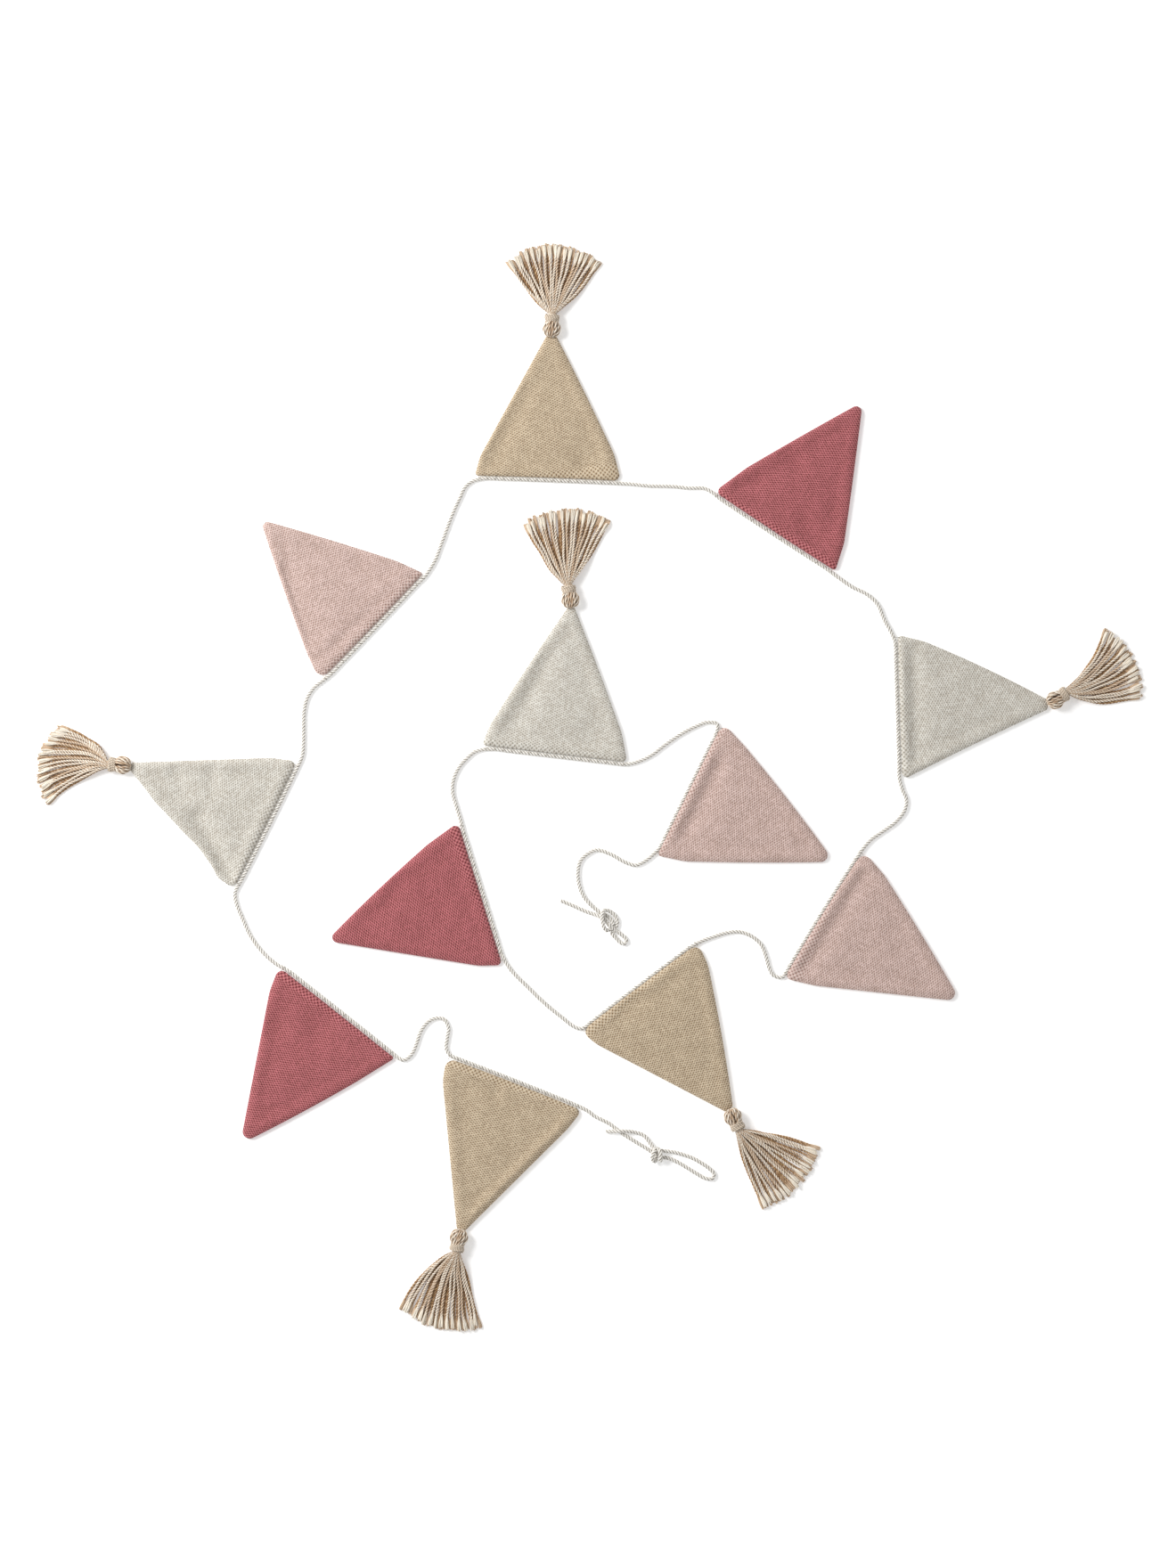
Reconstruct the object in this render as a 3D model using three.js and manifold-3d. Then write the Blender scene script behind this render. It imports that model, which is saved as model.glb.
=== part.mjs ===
// Knitted pennant bunting laid out flat in a loose spiral.
// Twelve two-layer knitted pennants hang on one twisted cord, six of them end in a yarn tassel.
// Millimetres, +Z up. z = 0 is the surface it lies on, x = y = 0 is the middle of the laid-out spiral.
import * as THREE from 'three';
import { mergeVertices } from 'three/addons/utils/BufferGeometryUtils.js';
import Module from 'manifold-3d';

const wasm = await Module();
wasm.setup();

const RAD = Math.PI / 180;
const GAP = 0.3;

// Cord.
const CORD_R = 2.0;
const CORD_SIDES = 8;
const BASE_RUN = [0.1, 0.5, 0.9];

// Pennant section: rings from the surface up, each an inset from the outline and a height.
const EDGE_RINGS = [
  { inset: 2.0, z: 0.0 },
  { inset: 0.5, z: 0.9 },
  { inset: 0.0, z: 2.6 },
  { inset: 0.9, z: 4.5 },
  { inset: 3.2, z: 5.6 },
  { inset: 9.0, z: 6.2 },
  { inset: 18.0, z: 6.5 },
  { inset: 31.0, z: 6.7 },
];
const CROWN_Z = 6.8;
const SOFT_INSET = 3.0;
const TUCK_RISE = 4.9;
const TUCK_INSET = 0.3;
const CUT_TIP_R = 3.4;
const CUT_TIP_WIDTH = 0.8;
const CORNER_STEPS = 4;
const CUT_TIP_STEPS = 2;
const SHOULDER_R = 50;
const SHOULDER_STEPS = 1;
const SIDE_STEPS = 3;
const WAVE_STEPS = 8;

const TAN = { color: 0xd6c3a0, roughness: 0.95 };
const ROSE = { color: 0xb4505f, roughness: 0.95 };
const BLUSH = { color: 0xe1beb4, roughness: 0.95 };
const CHALK = { color: 0xdedcd0, roughness: 0.95 };
const YARN = { color: 0xcdb79a, roughness: 0.9 };
const CREAM = { color: 0xe8dfcd, roughness: 0.9 };
const COTTON = { color: 0xf0ede6, roughness: 0.9 };
const KNITS = [TAN, ROSE, CHALK, BLUSH];

// One row for each pennant, from the outer end of the cord to the inner end.
// x, y is the middle of its top edge, turn is the direction of that edge along the cord,
// lean is how far the point stands off the middle, the bows are how far each side curves outward.
// nip is how far the two corners are drawn in along the top edge, run is how long the stretch of
// side is that turns in to them, and round is the radius of the first corner, the second one and,
// with no tassel, the point.
const PENNANTS = [
  { n: 1, x: -70.5, y: -272.1, turn: 158.6, width: 143.3, height: 153.5, lean: -5.0, bows: [0.7, 0, 0],
    nip: [2.8, 6.4], run: [23, 24], round: [5, 8] },
  { n: 2, x: -233.0, y: -206.6, turn: 141.7, width: 143.3, height: 150.9, lean: -6.6, bows: [0.2, 0, 0.8],
    nip: [2.7, 4.8], run: [44, 26], round: [2, 6, 6.5] },
  { n: 3, x: -297.3, y: -34.1, turn: 63.6, width: 138.0, height: 144.3, lean: -7.6, bows: [0.5, 0, 0],
    nip: [0, 4.3], run: [0, 26], round: [6.5, 5.2] },
  { n: 4, x: -199.7, y: 147.3, turn: 46.2, width: 145.2, height: 143.2, lean: 0, bows: [0.4, 0.7, 0.7],
    nip: [3.2, 4.4], run: [30, 29], round: [8, 2, 4.5] },
  { n: 5, x: -37.7, y: 284.0, turn: -2.1, width: 145.1, height: 142.4, lean: -2.1, bows: [-0.4, 0.5, 0],
    nip: [4.8, 5.5], run: [20, 28], round: [2.5, 5.3] },
  { n: 6, x: 170.6, y: 235.0, turn: -33.3, width: 143.6, height: 144.6, lean: 2.0, bows: [0.5, 0.3, 0.4],
    nip: [5, 5.4], run: [40, 29], round: [5, 2.7, 5] },
  { n: 7, x: 285.4, y: 76.2, turn: -88.2, width: 139.6, height: 148.0, lean: 4.8, bows: [0, -0.7, 1.5],
    nip: [5.8, 0], run: [29, 0], round: [3.5, 4.5] },
  { n: 8, x: 215.3, y: -116.1, turn: -121.8, width: 148.5, height: 150.6, lean: 2.0, bows: [0.9, 0, 0.7],
    nip: [5.8, 4], run: [34, 32], round: [8, 5.5, 6.5] },
  { n: 9, x: 46.7, y: -182.9, turn: -142.9, width: 146.1, height: 150.5, lean: 3.0, bows: [0.6, 0, 1.1],
    nip: [6.6, 4.5], run: [26, 20], round: [8, 7.5] },
  { n: 10, x: -100.5, y: -97.8, turn: 107.3, width: 147.5, height: 148.3, lean: 0.5, bows: [0, 1.1, 0],
    nip: [4.6, 5.3], run: [24, 38], round: [4, 4.8, 5] },
  { n: 11, x: -31.7, y: 30.6, turn: -6.7, width: 144.5, height: 143.1, lean: -0.7, bows: [0, 0.6, 0.8],
    nip: [4.6, 5.2], run: [21, 29], round: [3, 4] },
  { n: 12, x: 91.4, y: -2.9, turn: -116.3, width: 145.7, height: 150.1, lean: -0.4, bows: [0, 0.7, 1.1],
    nip: [3, 6], run: [32, 29], round: [7, 3, 6.5] },
];

// Pennants whose top edge lies partly over the cord, and how far.
const TUCKED = [8, 9, 12];
const TUCK = 1.8;

// Waves in an edge: side 2 runs from the point back to the first corner, at is the distance
// from the first corner, out is how far the edge moves outward there.
const EDGE_WAVES = [
  { n: 3, side: 2, at: 9, reach: 7, out: 2.2 },
  { n: 3, side: 2, at: 42, reach: 16, out: -1.9 },
  { n: 3, side: 2, at: 99, reach: 17, out: 1.4 },
];

// Soft valleys (depth above 0) and ridges (depth below 0) in the face, from u1, v1 to u2, v2 in the
// pennant's own frame: u along the top edge from its middle, v from the top edge to the point.
const FOLDS = [
  { n: 1, u1: -59, v1: 18, u2: -13, v2: 124, reach: 7, depth: -0.7 },
  { n: 1, u1: 13, v1: 1, u2: 10, v2: 17, reach: 6, depth: 0.7 },
  { n: 2, u1: 37, v1: 41, u2: 39, v2: 46, reach: 13, depth: 1.1 },
  { n: 2, u1: 1, v1: 26, u2: 2, v2: 17, reach: 12, depth: 1.1 },
  { n: 3, u1: -22, v1: 58, u2: -60, v2: 5, reach: 8, depth: 1.9 },
  { n: 3, u1: 8, v1: 96, u2: -7, v2: 83, reach: 7, depth: 0.9 },
  { n: 3, u1: 24, v1: 67, u2: 6, v2: 58, reach: 8, depth: 0.9 },
  { n: 4, u1: -18, v1: 94, u2: -60, v2: 20, reach: 8, depth: 1.3 },
  { n: 4, u1: -57, v1: 23, u2: 59, v2: 14, reach: 7, depth: -0.6 },
  { n: 5, u1: -56, v1: 12, u2: -24, v2: 79, reach: 9, depth: 1.0 },
  { n: 5, u1: 32, v1: 11, u2: 32, v2: 19, reach: 9, depth: 1.1 },
  { n: 6, u1: -34, v1: 68, u2: -17, v2: 64, reach: 9, depth: 1.0 },
  { n: 6, u1: -51, v1: 18, u2: -39, v2: 30, reach: 9, depth: 1.1 },
  { n: 6, u1: 33, v1: 18, u2: 19, v2: 24, reach: 10, depth: 1.0 },
  { n: 7, u1: -49, v1: 14, u2: 49, v2: 14, reach: 8, depth: 1.2 },
  { n: 8, u1: -46, v1: 13, u2: 50, v2: 13, reach: 8, depth: 1.1 },
  { n: 9, u1: 24, v1: 6, u2: 9, v2: 7, reach: 9, depth: 0.9 },
  { n: 10, u1: 1, v1: 37, u2: 17, v2: 45, reach: 9, depth: 1.1 },
  { n: 10, u1: 36, v1: 65, u2: 26, v2: 77, reach: 9, depth: 1.0 },
  { n: 11, u1: -20, v1: 81, u2: -32, v2: 43, reach: 9, depth: 1.2 },
  { n: 11, u1: -42, v1: 21, u2: -38, v2: 25, reach: 9, depth: 0.9 },
  { n: 11, u1: 32, v1: 21, u2: 28, v2: 25, reach: 9, depth: 0.9 },
  { n: 12, u1: -32, v1: 15, u2: 37, v2: 15, reach: 8, depth: 1.2 },
];

// Tassels: n is the pennant, cut how much of its point the head covers, dir the way the head points.
// seat is how far the head starts past the middle of the cut point. The strands end between cw and
// ccw degrees off dir at reach from the neck, flare widens their starts, bend swings the starts back
// and trim shortens the cw side.
const TASSELS = [
  { n: 1, cut: 10.0, seat: -1.2, dir: -101, cw: -34, ccw: 29, reach: 73, flare: 1.85, bend: 11, trim: 0 },
  { n: 3, cut: 8.5, seat: -0.85, dir: 177, cw: -36, ccw: 37, reach: 67, flare: 1.42, bend: 27, trim: 10 },
  { n: 5, cut: 11.5, seat: -1.25, dir: 88, cw: -44, ccw: 46, reach: 64, flare: 1.45, bend: 0, trim: 0 },
  { n: 7, cut: 12.0, seat: -0.1, dir: 32, cw: -37, ccw: 29, reach: 68.5, flare: 1.0, bend: 25, trim: 0 },
  { n: 9, cut: 10.5, seat: -0.3, dir: -65, cw: -9, ccw: 53, reach: 75, flare: 1.35, bend: 3, trim: 0 },
  { n: 11, cut: 7.0, seat: -1.1, dir: 99, cw: -43, ccw: 30, reach: 70, flare: 1.37, bend: -6, trim: 0 },
];
const HEAD_SECTION = [
  [0.0, 0.0],
  [2.8, 0.4],
  [6.6, 2.8],
  [8.0, 7.0],
  [7.0, 11.6],
  [4.9, 13.4],
  [4.9, 20.6],
  [0.0, 21.8],
];
const HEAD_SIDES = 10;
const HEAD_FLAT = 0.85;
const HEAD_Z = 8.0 * HEAD_FLAT;
const NECK_START = 13.8;
const NECK_END = 21.2;
const NECK_IN = 5.2;
const NECK_OUT = 7.0;
const NECK_DIP = 0.5;
const NECK_TURNS = 3;
const NECK_SLOPE = 0.1;

// Strands: half-width and rise of the bundle at the neck, then the section of each one.
const STRAND_PITCH = 4.8;
const STRAND_SLIT = 0.7;
const STRAND_START = 15.3;
const START_NARROW = 0.9;
const STRAND_ROOT = 3.0;
const ROOT_OUT = 0.9;
const ROOT_RISE = 1.2;
const ROOT_W = 2.2;
const ROOT_H = 3.8;
const BEND_SHARE = 0.38;
const MIDDLE_SHARE = 0.4;
const MIDDLE_EXTRA_H = 1.2;
const MIDDLE_LAP = 0.7;
const STRAND_H = 2.4;
const STRAND_H_STEP = 0.5;
const TIP_UNEVEN = 1.2;
const TIP_TURN = 2.4;

// Cord runs between the pennants, hand-placed centre points x, y on the surface.
const LINKS = [
  [[59, -336.3], [52, -332], [40, -324.8], [28.5, -317.3], [17.6, -309.1], [4, -302.2], [-1.2, -298]],
  [[-127.6, -246.9], [-131.6, -240.7], [-130.8, -230.8], [-129.6, -221.8], [-133.8, -213.5], [-141.4, -212.4],
    [-148.8, -216.1], [-155.4, -225.1], [-159.4, -236.8], [-163.9, -246.1], [-171.3, -250.9]],
  [[-290.1, -161.3], [-302.6, -149.6], [-312, -136.5], [-318.9, -121.8], [-324.8, -107], [-326, -97]],
  [[-264.2, 28.8], [-263.2, 39], [-263, 55], [-262.4, 71], [-259.2, 83], [-253.4, 91.6], [-245.9, 97.6]],
  [[-152.1, 193.1], [-142.8, 207.3], [-136.5, 223.1], [-130.7, 239.1], [-124.1, 255.8], [-119.1, 266.4],
    [-114.5, 276], [-107.5, 281.5]],
  [[38.1, 278.8], [55, 277.2], [75, 276.8], [92, 275.2], [105.5, 274.9], [113.5, 270.6]],
  [[229.2, 192.7], [241, 184.5], [255, 177.5], [264.9, 168.3], [271, 154.5], [278.4, 140.6]],
  [[284.9, 9.4], [287.8, -2], [291.6, -11.9], [289.7, -21.9], [281.8, -31.9], [271, -39.9], [259.5, -47.9],
    [251.3, -57]],
  [[177.5, -174.7], [169.3, -173], [165.2, -166], [162.3, -155.5], [157.9, -144.9], [149, -137.1],
    [138, -133], [126.1, -134], [114.4, -137.5], [103.4, -141.5]],
  [[-6.2, -222], [-13.5, -220.6], [-27, -210.5], [-40.5, -199.5], [-56.6, -184.1], [-72.6, -167.7]],
  [[-118.5, -30.7], [-122.2, -18.5], [-126, -4], [-124.9, 7.5], [-120, 18.3], [-112.4, 27],
    [-104.1, 33.2]],
  [[33.2, 20.9], [44, 23.3], [56.5, 29.2], [69.5, 39], [83.8, 48.7], [98.4, 56.3], [108.6, 59.8], [117.4, 58.1]],
  [[58.6, -61.9], [51.5, -67.7], [42.6, -71.7], [32, -68.6], [19.5, -61.7], [7, -57.8], [-1.4, -61.1],
    [-8.1, -67.5], [-10.6, -77.5], [-9.9, -88], [-6.4, -98.5], [-0.5, -106.5], [6.5, -112.8],
    [13.5, -118.2]],
];

// The two ends: a knot that closes a small hanging loop, and the cord's own short tail.
// Points are x, y, z of the cord's centre.
const ENDS = [
  {
    knot: { x: 61.9, y: -338.2, turn: -24, long: 12.5, across: 15.5, tall: 11 },
    tail: [[15.6, -316.9, 2], [22.1, -316.4, 3.6], [28.6, -316, 5.6], [35.7, -316.4, 4.0],
      [42.6, -317.5, 2], [50.1, -320.4, 2], [54.7, -325.8, 2.6], [59.7, -332.9, 4.6]],
    loop: [[65.2, -334.6, 4.4], [71.8, -334.8, 2.4], [78.3, -335.8, 2], [85.7, -337.8, 2], [93.9, -340.7, 2],
      [102.1, -345.2, 2], [109.9, -350.5, 2], [114.6, -355.9, 2], [113, -360, 2], [106.2, -359.6, 2],
      [98, -355.1, 2], [89.8, -350.1, 2], [81.6, -345.2, 2], [73.4, -341.6, 2.4], [66, -340.9, 4.4]],
  },
  {
    knot: { x: 18.0, y: -121.8, turn: -56, long: 21, across: 13.5, tall: 10.5 },
    tail: [[-25.8, -104.5, 2], [-15, -109.1, 2], [-4.2, -113.9, 2], [3.5, -116.6, 2.4], [11, -119.5, 4.2]],
    loop: [[18.2, -127.0, 4.6], [24.6, -131.8, 3], [29.4, -135.6, 2.2], [33.2, -139, 2], [34, -142.4, 2],
      [31.6, -144.2, 2], [27.8, -142.4, 2], [24.4, -138.8, 2], [21.2, -135.4, 2.6], [17.4, -132.0, 4.6]],
  },
];
const KNOT_RISE = 4.6;
const KNOT_SIDES = 10;
const KNOT_STEPS = 9;
const KNOT_RIDGE = 0.11;
const KNOT_RIDGES = 3;

function material(look) {
  return new THREE.MeshStandardMaterial({ color: look.color, roughness: look.roughness, metalness: 0 });
}

function solid(name, geometry, look) {
  const mesh = new THREE.Mesh(geometry, material(look));
  mesh.name = name;
  return mesh;
}

// Closed skin over a list of rings of equal length, with a lid at each end.
function skin(rings, lowMiddle, highMiddle) {
  const count = rings[0].length;
  const points = rings.flat();
  const index = [];
  for (let r = 0; r + 1 < rings.length; r += 1) {
    for (let i = 0; i < count; i += 1) {
      const j = (i + 1) % count;
      const a = r * count + i;
      const b = r * count + j;
      index.push(a, b, b + count, a, b + count, a + count);
    }
  }
  const top = (rings.length - 1) * count;
  if (lowMiddle) {
    points.push(lowMiddle, highMiddle);
    const low = points.length - 2;
    const high = points.length - 1;
    for (let i = 0; i < count; i += 1) {
      const j = (i + 1) % count;
      index.push(low, j, i, high, top + i, top + j);
    }
  } else {
    for (let i = 1; i + 1 < count; i += 1) {
      index.push(0, i + 1, i, top, top + i, top + i + 1);
    }
  }
  const geometry = new THREE.BufferGeometry();
  geometry.setAttribute('position', new THREE.Float32BufferAttribute(points.flat(), 3));
  geometry.setIndex(index);
  geometry.computeVertexNormals();
  return geometry;
}

function toManifold(geometry) {
  const bare = geometry.clone();
  bare.deleteAttribute('normal');
  bare.deleteAttribute('uv');
  const merged = mergeVertices(bare, 1e-4);
  return new wasm.Manifold(new wasm.Mesh({
    numProp: 3,
    vertProperties: new Float32Array(merged.attributes.position.array),
    triVerts: new Uint32Array(merged.index.array),
  }));
}

function fromManifold(body) {
  const mesh = body.getMesh();
  const geometry = new THREE.BufferGeometry();
  geometry.setAttribute('position', new THREE.Float32BufferAttribute(Array.from(mesh.vertProperties), 3));
  geometry.setIndex(Array.from(mesh.triVerts));
  geometry.computeVertexNormals();
  return geometry;
}

function joined(geometries) {
  let body = toManifold(geometries[0]);
  for (const geometry of geometries.slice(1)) {
    body = body.add(toManifold(geometry));
  }
  return fromManifold(body);
}

// The pennant's own frame: u along its top edge, v toward its point.
function frameOf(row) {
  const ux = Math.cos(row.turn * RAD);
  const uy = Math.sin(row.turn * RAD);
  return (u, v) => [row.x + ux * u - uy * v, row.y + uy * u + ux * v];
}

function tuckOf(row) {
  return TUCKED.includes(row.n) ? TUCK : 0;
}

function tasselOf(row) {
  return TASSELS.find((tassel) => tassel.n === row.n);
}

// Where a side, k 0 for the first corner's and 1 for the second's, begins to turn in to its corner.
function shoulderOf(row, corner, k, side) {
  const share = row.run[k] / Math.hypot(row.lean - corner, row.height);
  const p = [corner + (row.lean - corner) * share, row.height * share];
  return { p, r: SHOULDER_R, steps: SHOULDER_STEPS, side };
}

// Corners in the pennant's frame, each with its rounding and the side that starts there.
function cornersOf(row) {
  const half = row.width / 2;
  const first = { p: [row.nip[0] - half, 0], r: row.round[0], steps: CORNER_STEPS, side: 0 };
  const second = { p: [half - row.nip[1], 0], r: row.round[1], steps: CORNER_STEPS, side: 1 };
  const corners = [first, second];
  if (row.nip[1] > 0) {
    second.side = undefined;
    corners.push(shoulderOf(row, half, 1, 1));
  }
  const tassel = tasselOf(row);
  if (tassel) {
    const share = tassel.cut / row.height;
    const v = row.height * (1 - share);
    const out = share * CUT_TIP_WIDTH;
    corners.push({ p: [row.lean + (half - row.lean) * out, v], r: CUT_TIP_R, steps: CUT_TIP_STEPS });
    corners.push({ p: [row.lean - (half + row.lean) * out, v], r: CUT_TIP_R, steps: CUT_TIP_STEPS, side: 2 });
  } else {
    corners.push({ p: [row.lean, row.height], r: row.round[2], steps: CORNER_STEPS, side: 2 });
  }
  if (row.nip[0] > 0) {
    corners.push(shoulderOf(row, -half, 0));
  }
  return corners;
}

function arcOf(before, corner, after) {
  const c = new THREE.Vector2(...corner.p);
  const a = new THREE.Vector2(...before.p).sub(c).normalize();
  const b = new THREE.Vector2(...after.p).sub(c).normalize();
  const half = Math.acos(a.dot(b)) / 2;
  const middle = a.clone().add(b).normalize().multiplyScalar(corner.r / Math.sin(half)).add(c);
  const start = a.clone().multiplyScalar(corner.r / Math.tan(half)).add(c).sub(middle);
  const sweep = Math.PI - 2 * half;
  const points = [];
  for (let i = 0; i <= corner.steps; i += 1) {
    points.push(start.clone().rotateAround(new THREE.Vector2(), sweep * i / corner.steps).add(middle));
  }
  return points;
}

// The outline in the pennant's frame, counter-clockwise, with its bows and edge waves.
function outlineOf(row) {
  const corners = cornersOf(row);
  const arcs = corners.map((corner, i) => {
    const before = corners[(i + corners.length - 1) % corners.length];
    const after = corners[(i + 1) % corners.length];
    return arcOf(before, corner, after);
  });
  const outline = [];
  corners.forEach((corner, i) => {
    outline.push(...arcs[i]);
    const side = corner.side;
    const from = arcs[i][arcs[i].length - 1];
    const to = arcs[(i + 1) % corners.length][0];
    const waves = EDGE_WAVES.filter((wave) => wave.n === row.n && wave.side === side);
    const plainSteps = side === 0 ? BASE_RUN.length - 1 : SIDE_STEPS;
    const steps = side === undefined ? 1 : waves.length ? WAVE_STEPS : plainSteps;
    const along = to.clone().sub(from);
    const outward = new THREE.Vector2(along.y, -along.x).normalize();
    for (let k = 1; k < steps; k += 1) {
      const t = k / steps;
      const left = along.length() * (1 - t);
      let push = row.bows[side] * 4 * t * (1 - t);
      for (const wave of waves) {
        push += wave.out * Math.exp(-(((left - wave.at) / wave.reach) ** 2));
      }
      outline.push(from.clone().addScaledVector(along, t).addScaledVector(outward, push));
    }
  });
  return outline;
}

function incentreOf(row) {
  const a = Math.hypot(row.width / 2 - row.lean, row.height);
  const b = Math.hypot(row.width / 2 + row.lean, row.height);
  const sum = a + b + row.width;
  const u = (a * -row.width / 2 + b * row.width / 2 + row.width * row.lean) / sum;
  return { u, v: row.width * row.height / sum };
}

// How far the soft face sinks below its even crown at u, v.
function foldDepth(row, u, v) {
  let depth = 0;
  for (const fold of FOLDS) {
    if (fold.n === row.n) {
      const du = fold.u2 - fold.u1;
      const dv = fold.v2 - fold.v1;
      const t = THREE.MathUtils.clamp(((u - fold.u1) * du + (v - fold.v1) * dv) / (du * du + dv * dv), 0, 1);
      const away = Math.hypot(u - fold.u1 - du * t, v - fold.v1 - dv * t);
      depth += fold.depth * Math.exp(-((away / fold.reach) ** 2));
    }
  }
  return depth;
}

function pennantGeometry(row) {
  const place = frameOf(row);
  const outline = outlineOf(row);
  const middle = incentreOf(row);
  const tuck = tuckOf(row);
  const rings = EDGE_RINGS.map((ring) => {
    const overCord = tuck > 0 && ring.z > CORD_R * 2 && ring.inset < SOFT_INSET;
    const inset = overCord ? TUCK_INSET : ring.inset;
    const z = overCord ? TUCK_RISE : ring.z;
    const scale = 1 - inset / middle.v;
    return outline.map((point) => {
      const u = middle.u + (point.x - middle.u) * scale;
      const free = middle.v + (point.y - middle.v) * scale;
      const v = z < CORD_R * 2 ? Math.max(free, tuck) : free;
      const sink = ring.inset > SOFT_INSET ? foldDepth(row, u, v) : 0;
      return [...place(u, v), z - sink];
    });
  });
  const low = [...place(middle.u, middle.v), 0];
  const high = [...place(middle.u, middle.v), CROWN_Z - foldDepth(row, middle.u, middle.v)];
  return skin(rings, low, high);
}

// Where the tassel's head starts, on the middle of the pennant's cut point.
function tasselSeat(row, tassel) {
  const place = frameOf(row);
  const share = 1 - tassel.cut / row.height;
  const [x, y] = place(row.lean * share, row.height * share);
  return [x + tassel.seat * Math.cos(tassel.dir * RAD), y + tassel.seat * Math.sin(tassel.dir * RAD)];
}

function turned(section, closed, tassel, seat) {
  const points = section.map(([radius, along]) => new THREE.Vector2(radius, along));
  if (closed) {
    points.push(points[0].clone());
  }
  const geometry = new THREE.LatheGeometry(points, HEAD_SIDES);
  geometry.rotateZ(-Math.PI / 2);
  geometry.scale(1, 1, HEAD_FLAT);
  geometry.rotateZ(tassel.dir * RAD);
  geometry.translate(seat[0], seat[1], HEAD_Z);
  return geometry;
}

function neckSection() {
  const pitch = (NECK_END - NECK_START) / NECK_TURNS;
  const section = [[NECK_IN, NECK_START]];
  for (let i = 0; i < NECK_TURNS; i += 1) {
    section.push([NECK_OUT - NECK_DIP, NECK_START + pitch * i + (i ? 0 : NECK_SLOPE)]);
    section.push([NECK_OUT, NECK_START + pitch * (i + 0.5)]);
  }
  section.push([NECK_OUT - NECK_DIP, NECK_END - NECK_SLOPE], [NECK_IN, NECK_END]);
  return section;
}

// One strand: from inside the neck it bends down to the surface and lies there, ridge up.
function strandGeometry(tassel, seat, share, i, pitch) {
  const aim = (degrees) => [Math.cos(degrees * RAD), Math.sin(degrees * RAD)];
  const [ax, ay] = aim(tassel.dir);
  const side = 2 * share - 1;
  const lift = ROOT_RISE * Math.sqrt(1 - side * side) * (i % 2 ? -1 : 1);
  const at = (along, off) => [seat[0] + ax * along - ay * off, seat[1] + ay * along + ax * off];
  const angle = tassel.cw + (tassel.ccw - tassel.cw) * share;
  const reach = tassel.reach - tassel.trim * (1 - share) ** 2 + TIP_UNEVEN * Math.sin(i * TIP_TURN);
  const [sx, sy] = aim(tassel.dir + angle * tassel.flare - tassel.bend);
  const [ex, ey] = aim(tassel.dir + angle);
  const neck = at(NECK_END, 0);
  const root = at(NECK_END + ROOT_OUT, STRAND_ROOT * side);
  const bent = [root[0] + sx * reach * BEND_SHARE, root[1] + sy * reach * BEND_SHARE];
  const tip = [neck[0] + ex * reach, neck[1] + ey * reach];
  const curve = new THREE.QuadraticBezierCurve(
    new THREE.Vector2(...root), new THREE.Vector2(...bent), new THREE.Vector2(...tip));
  const inside = at(STRAND_START, STRAND_ROOT * START_NARROW * side);
  const middle = curve.getPoint(MIDDLE_SHARE).toArray();
  const high = STRAND_H + STRAND_H_STEP * (i % 3);
  const stations = [
    { p: inside, z: HEAD_Z + lift - ROOT_H / 2, w: ROOT_W, h: ROOT_H },
    { p: root, z: HEAD_Z + lift - ROOT_H / 2, w: ROOT_W, h: ROOT_H },
    { p: middle, z: i % 2 ? 0 : MIDDLE_LAP, w: ROOT_W, h: high + MIDDLE_EXTRA_H },
    { p: tip, z: 0, w: pitch - STRAND_SLIT, h: high },
  ];
  const rings = stations.map((station, k) => {
    const before = stations[Math.max(k - 1, 0)].p;
    const after = stations[Math.min(k + 1, stations.length - 1)].p;
    const run = Math.hypot(after[0] - before[0], after[1] - before[1]);
    const nx = -(after[1] - before[1]) / run;
    const ny = (after[0] - before[0]) / run;
    const [x, y] = station.p;
    const w = station.w / 2;
    return [
      [x + nx * w, y + ny * w, station.z],
      [x - nx * w, y - ny * w, station.z],
      [x, y, station.z + station.h],
    ];
  });
  return skin(rings.map((ring) => ring.reverse()));
}

function tasselGeometry(row, tassel) {
  const seat = tasselSeat(row, tassel);
  const fan = (tassel.ccw - tassel.cw) * RAD * tassel.reach;
  const count = Math.round(fan / STRAND_PITCH);
  const parts = [turned(HEAD_SECTION, false, tassel, seat)];
  for (let i = 0; i < count; i += 1) {
    parts.push(strandGeometry(tassel, seat, (i + 0.5) / count, i, fan / count));
  }
  return { head: joined(parts), neck: turned(neckSection(), true, tassel, seat) };
}

// A curve through hand-placed points, so that each point is one step of the tube.
class PointRoute extends THREE.Curve {
  constructor(points) {
    super();
    this.points = points;
  }

  getPoint(t, target = new THREE.Vector3()) {
    const last = this.points.length - 1;
    const i = Math.min(Math.floor(t * last + 1e-9), last - 1);
    return target.lerpVectors(this.points[i], this.points[i + 1], t * last - i);
  }

  getTangent(t, target = new THREE.Vector3()) {
    const last = this.points.length - 1;
    const i = Math.round(t * last);
    const after = this.points[Math.min(i + 1, last)];
    return target.subVectors(after, this.points[Math.max(i - 1, 0)]).normalize();
  }

  getUtoTmapping(u) {
    return u;
  }
}

function tube(points) {
  const section = new THREE.Shape();
  for (let i = 0; i < CORD_SIDES; i += 1) {
    const angle = (i + 0.5) * 2 * Math.PI / CORD_SIDES;
    section[i ? 'lineTo' : 'moveTo'](CORD_R * Math.cos(angle), CORD_R * Math.sin(angle));
  }
  section.closePath();
  const route = new PointRoute(points.map(([x, y, z]) => new THREE.Vector3(x, y, z)));
  const steps = points.length - 1;
  return new THREE.ExtrudeGeometry(section, { steps, bevelEnabled: false, extrudePath: route });
}

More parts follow.
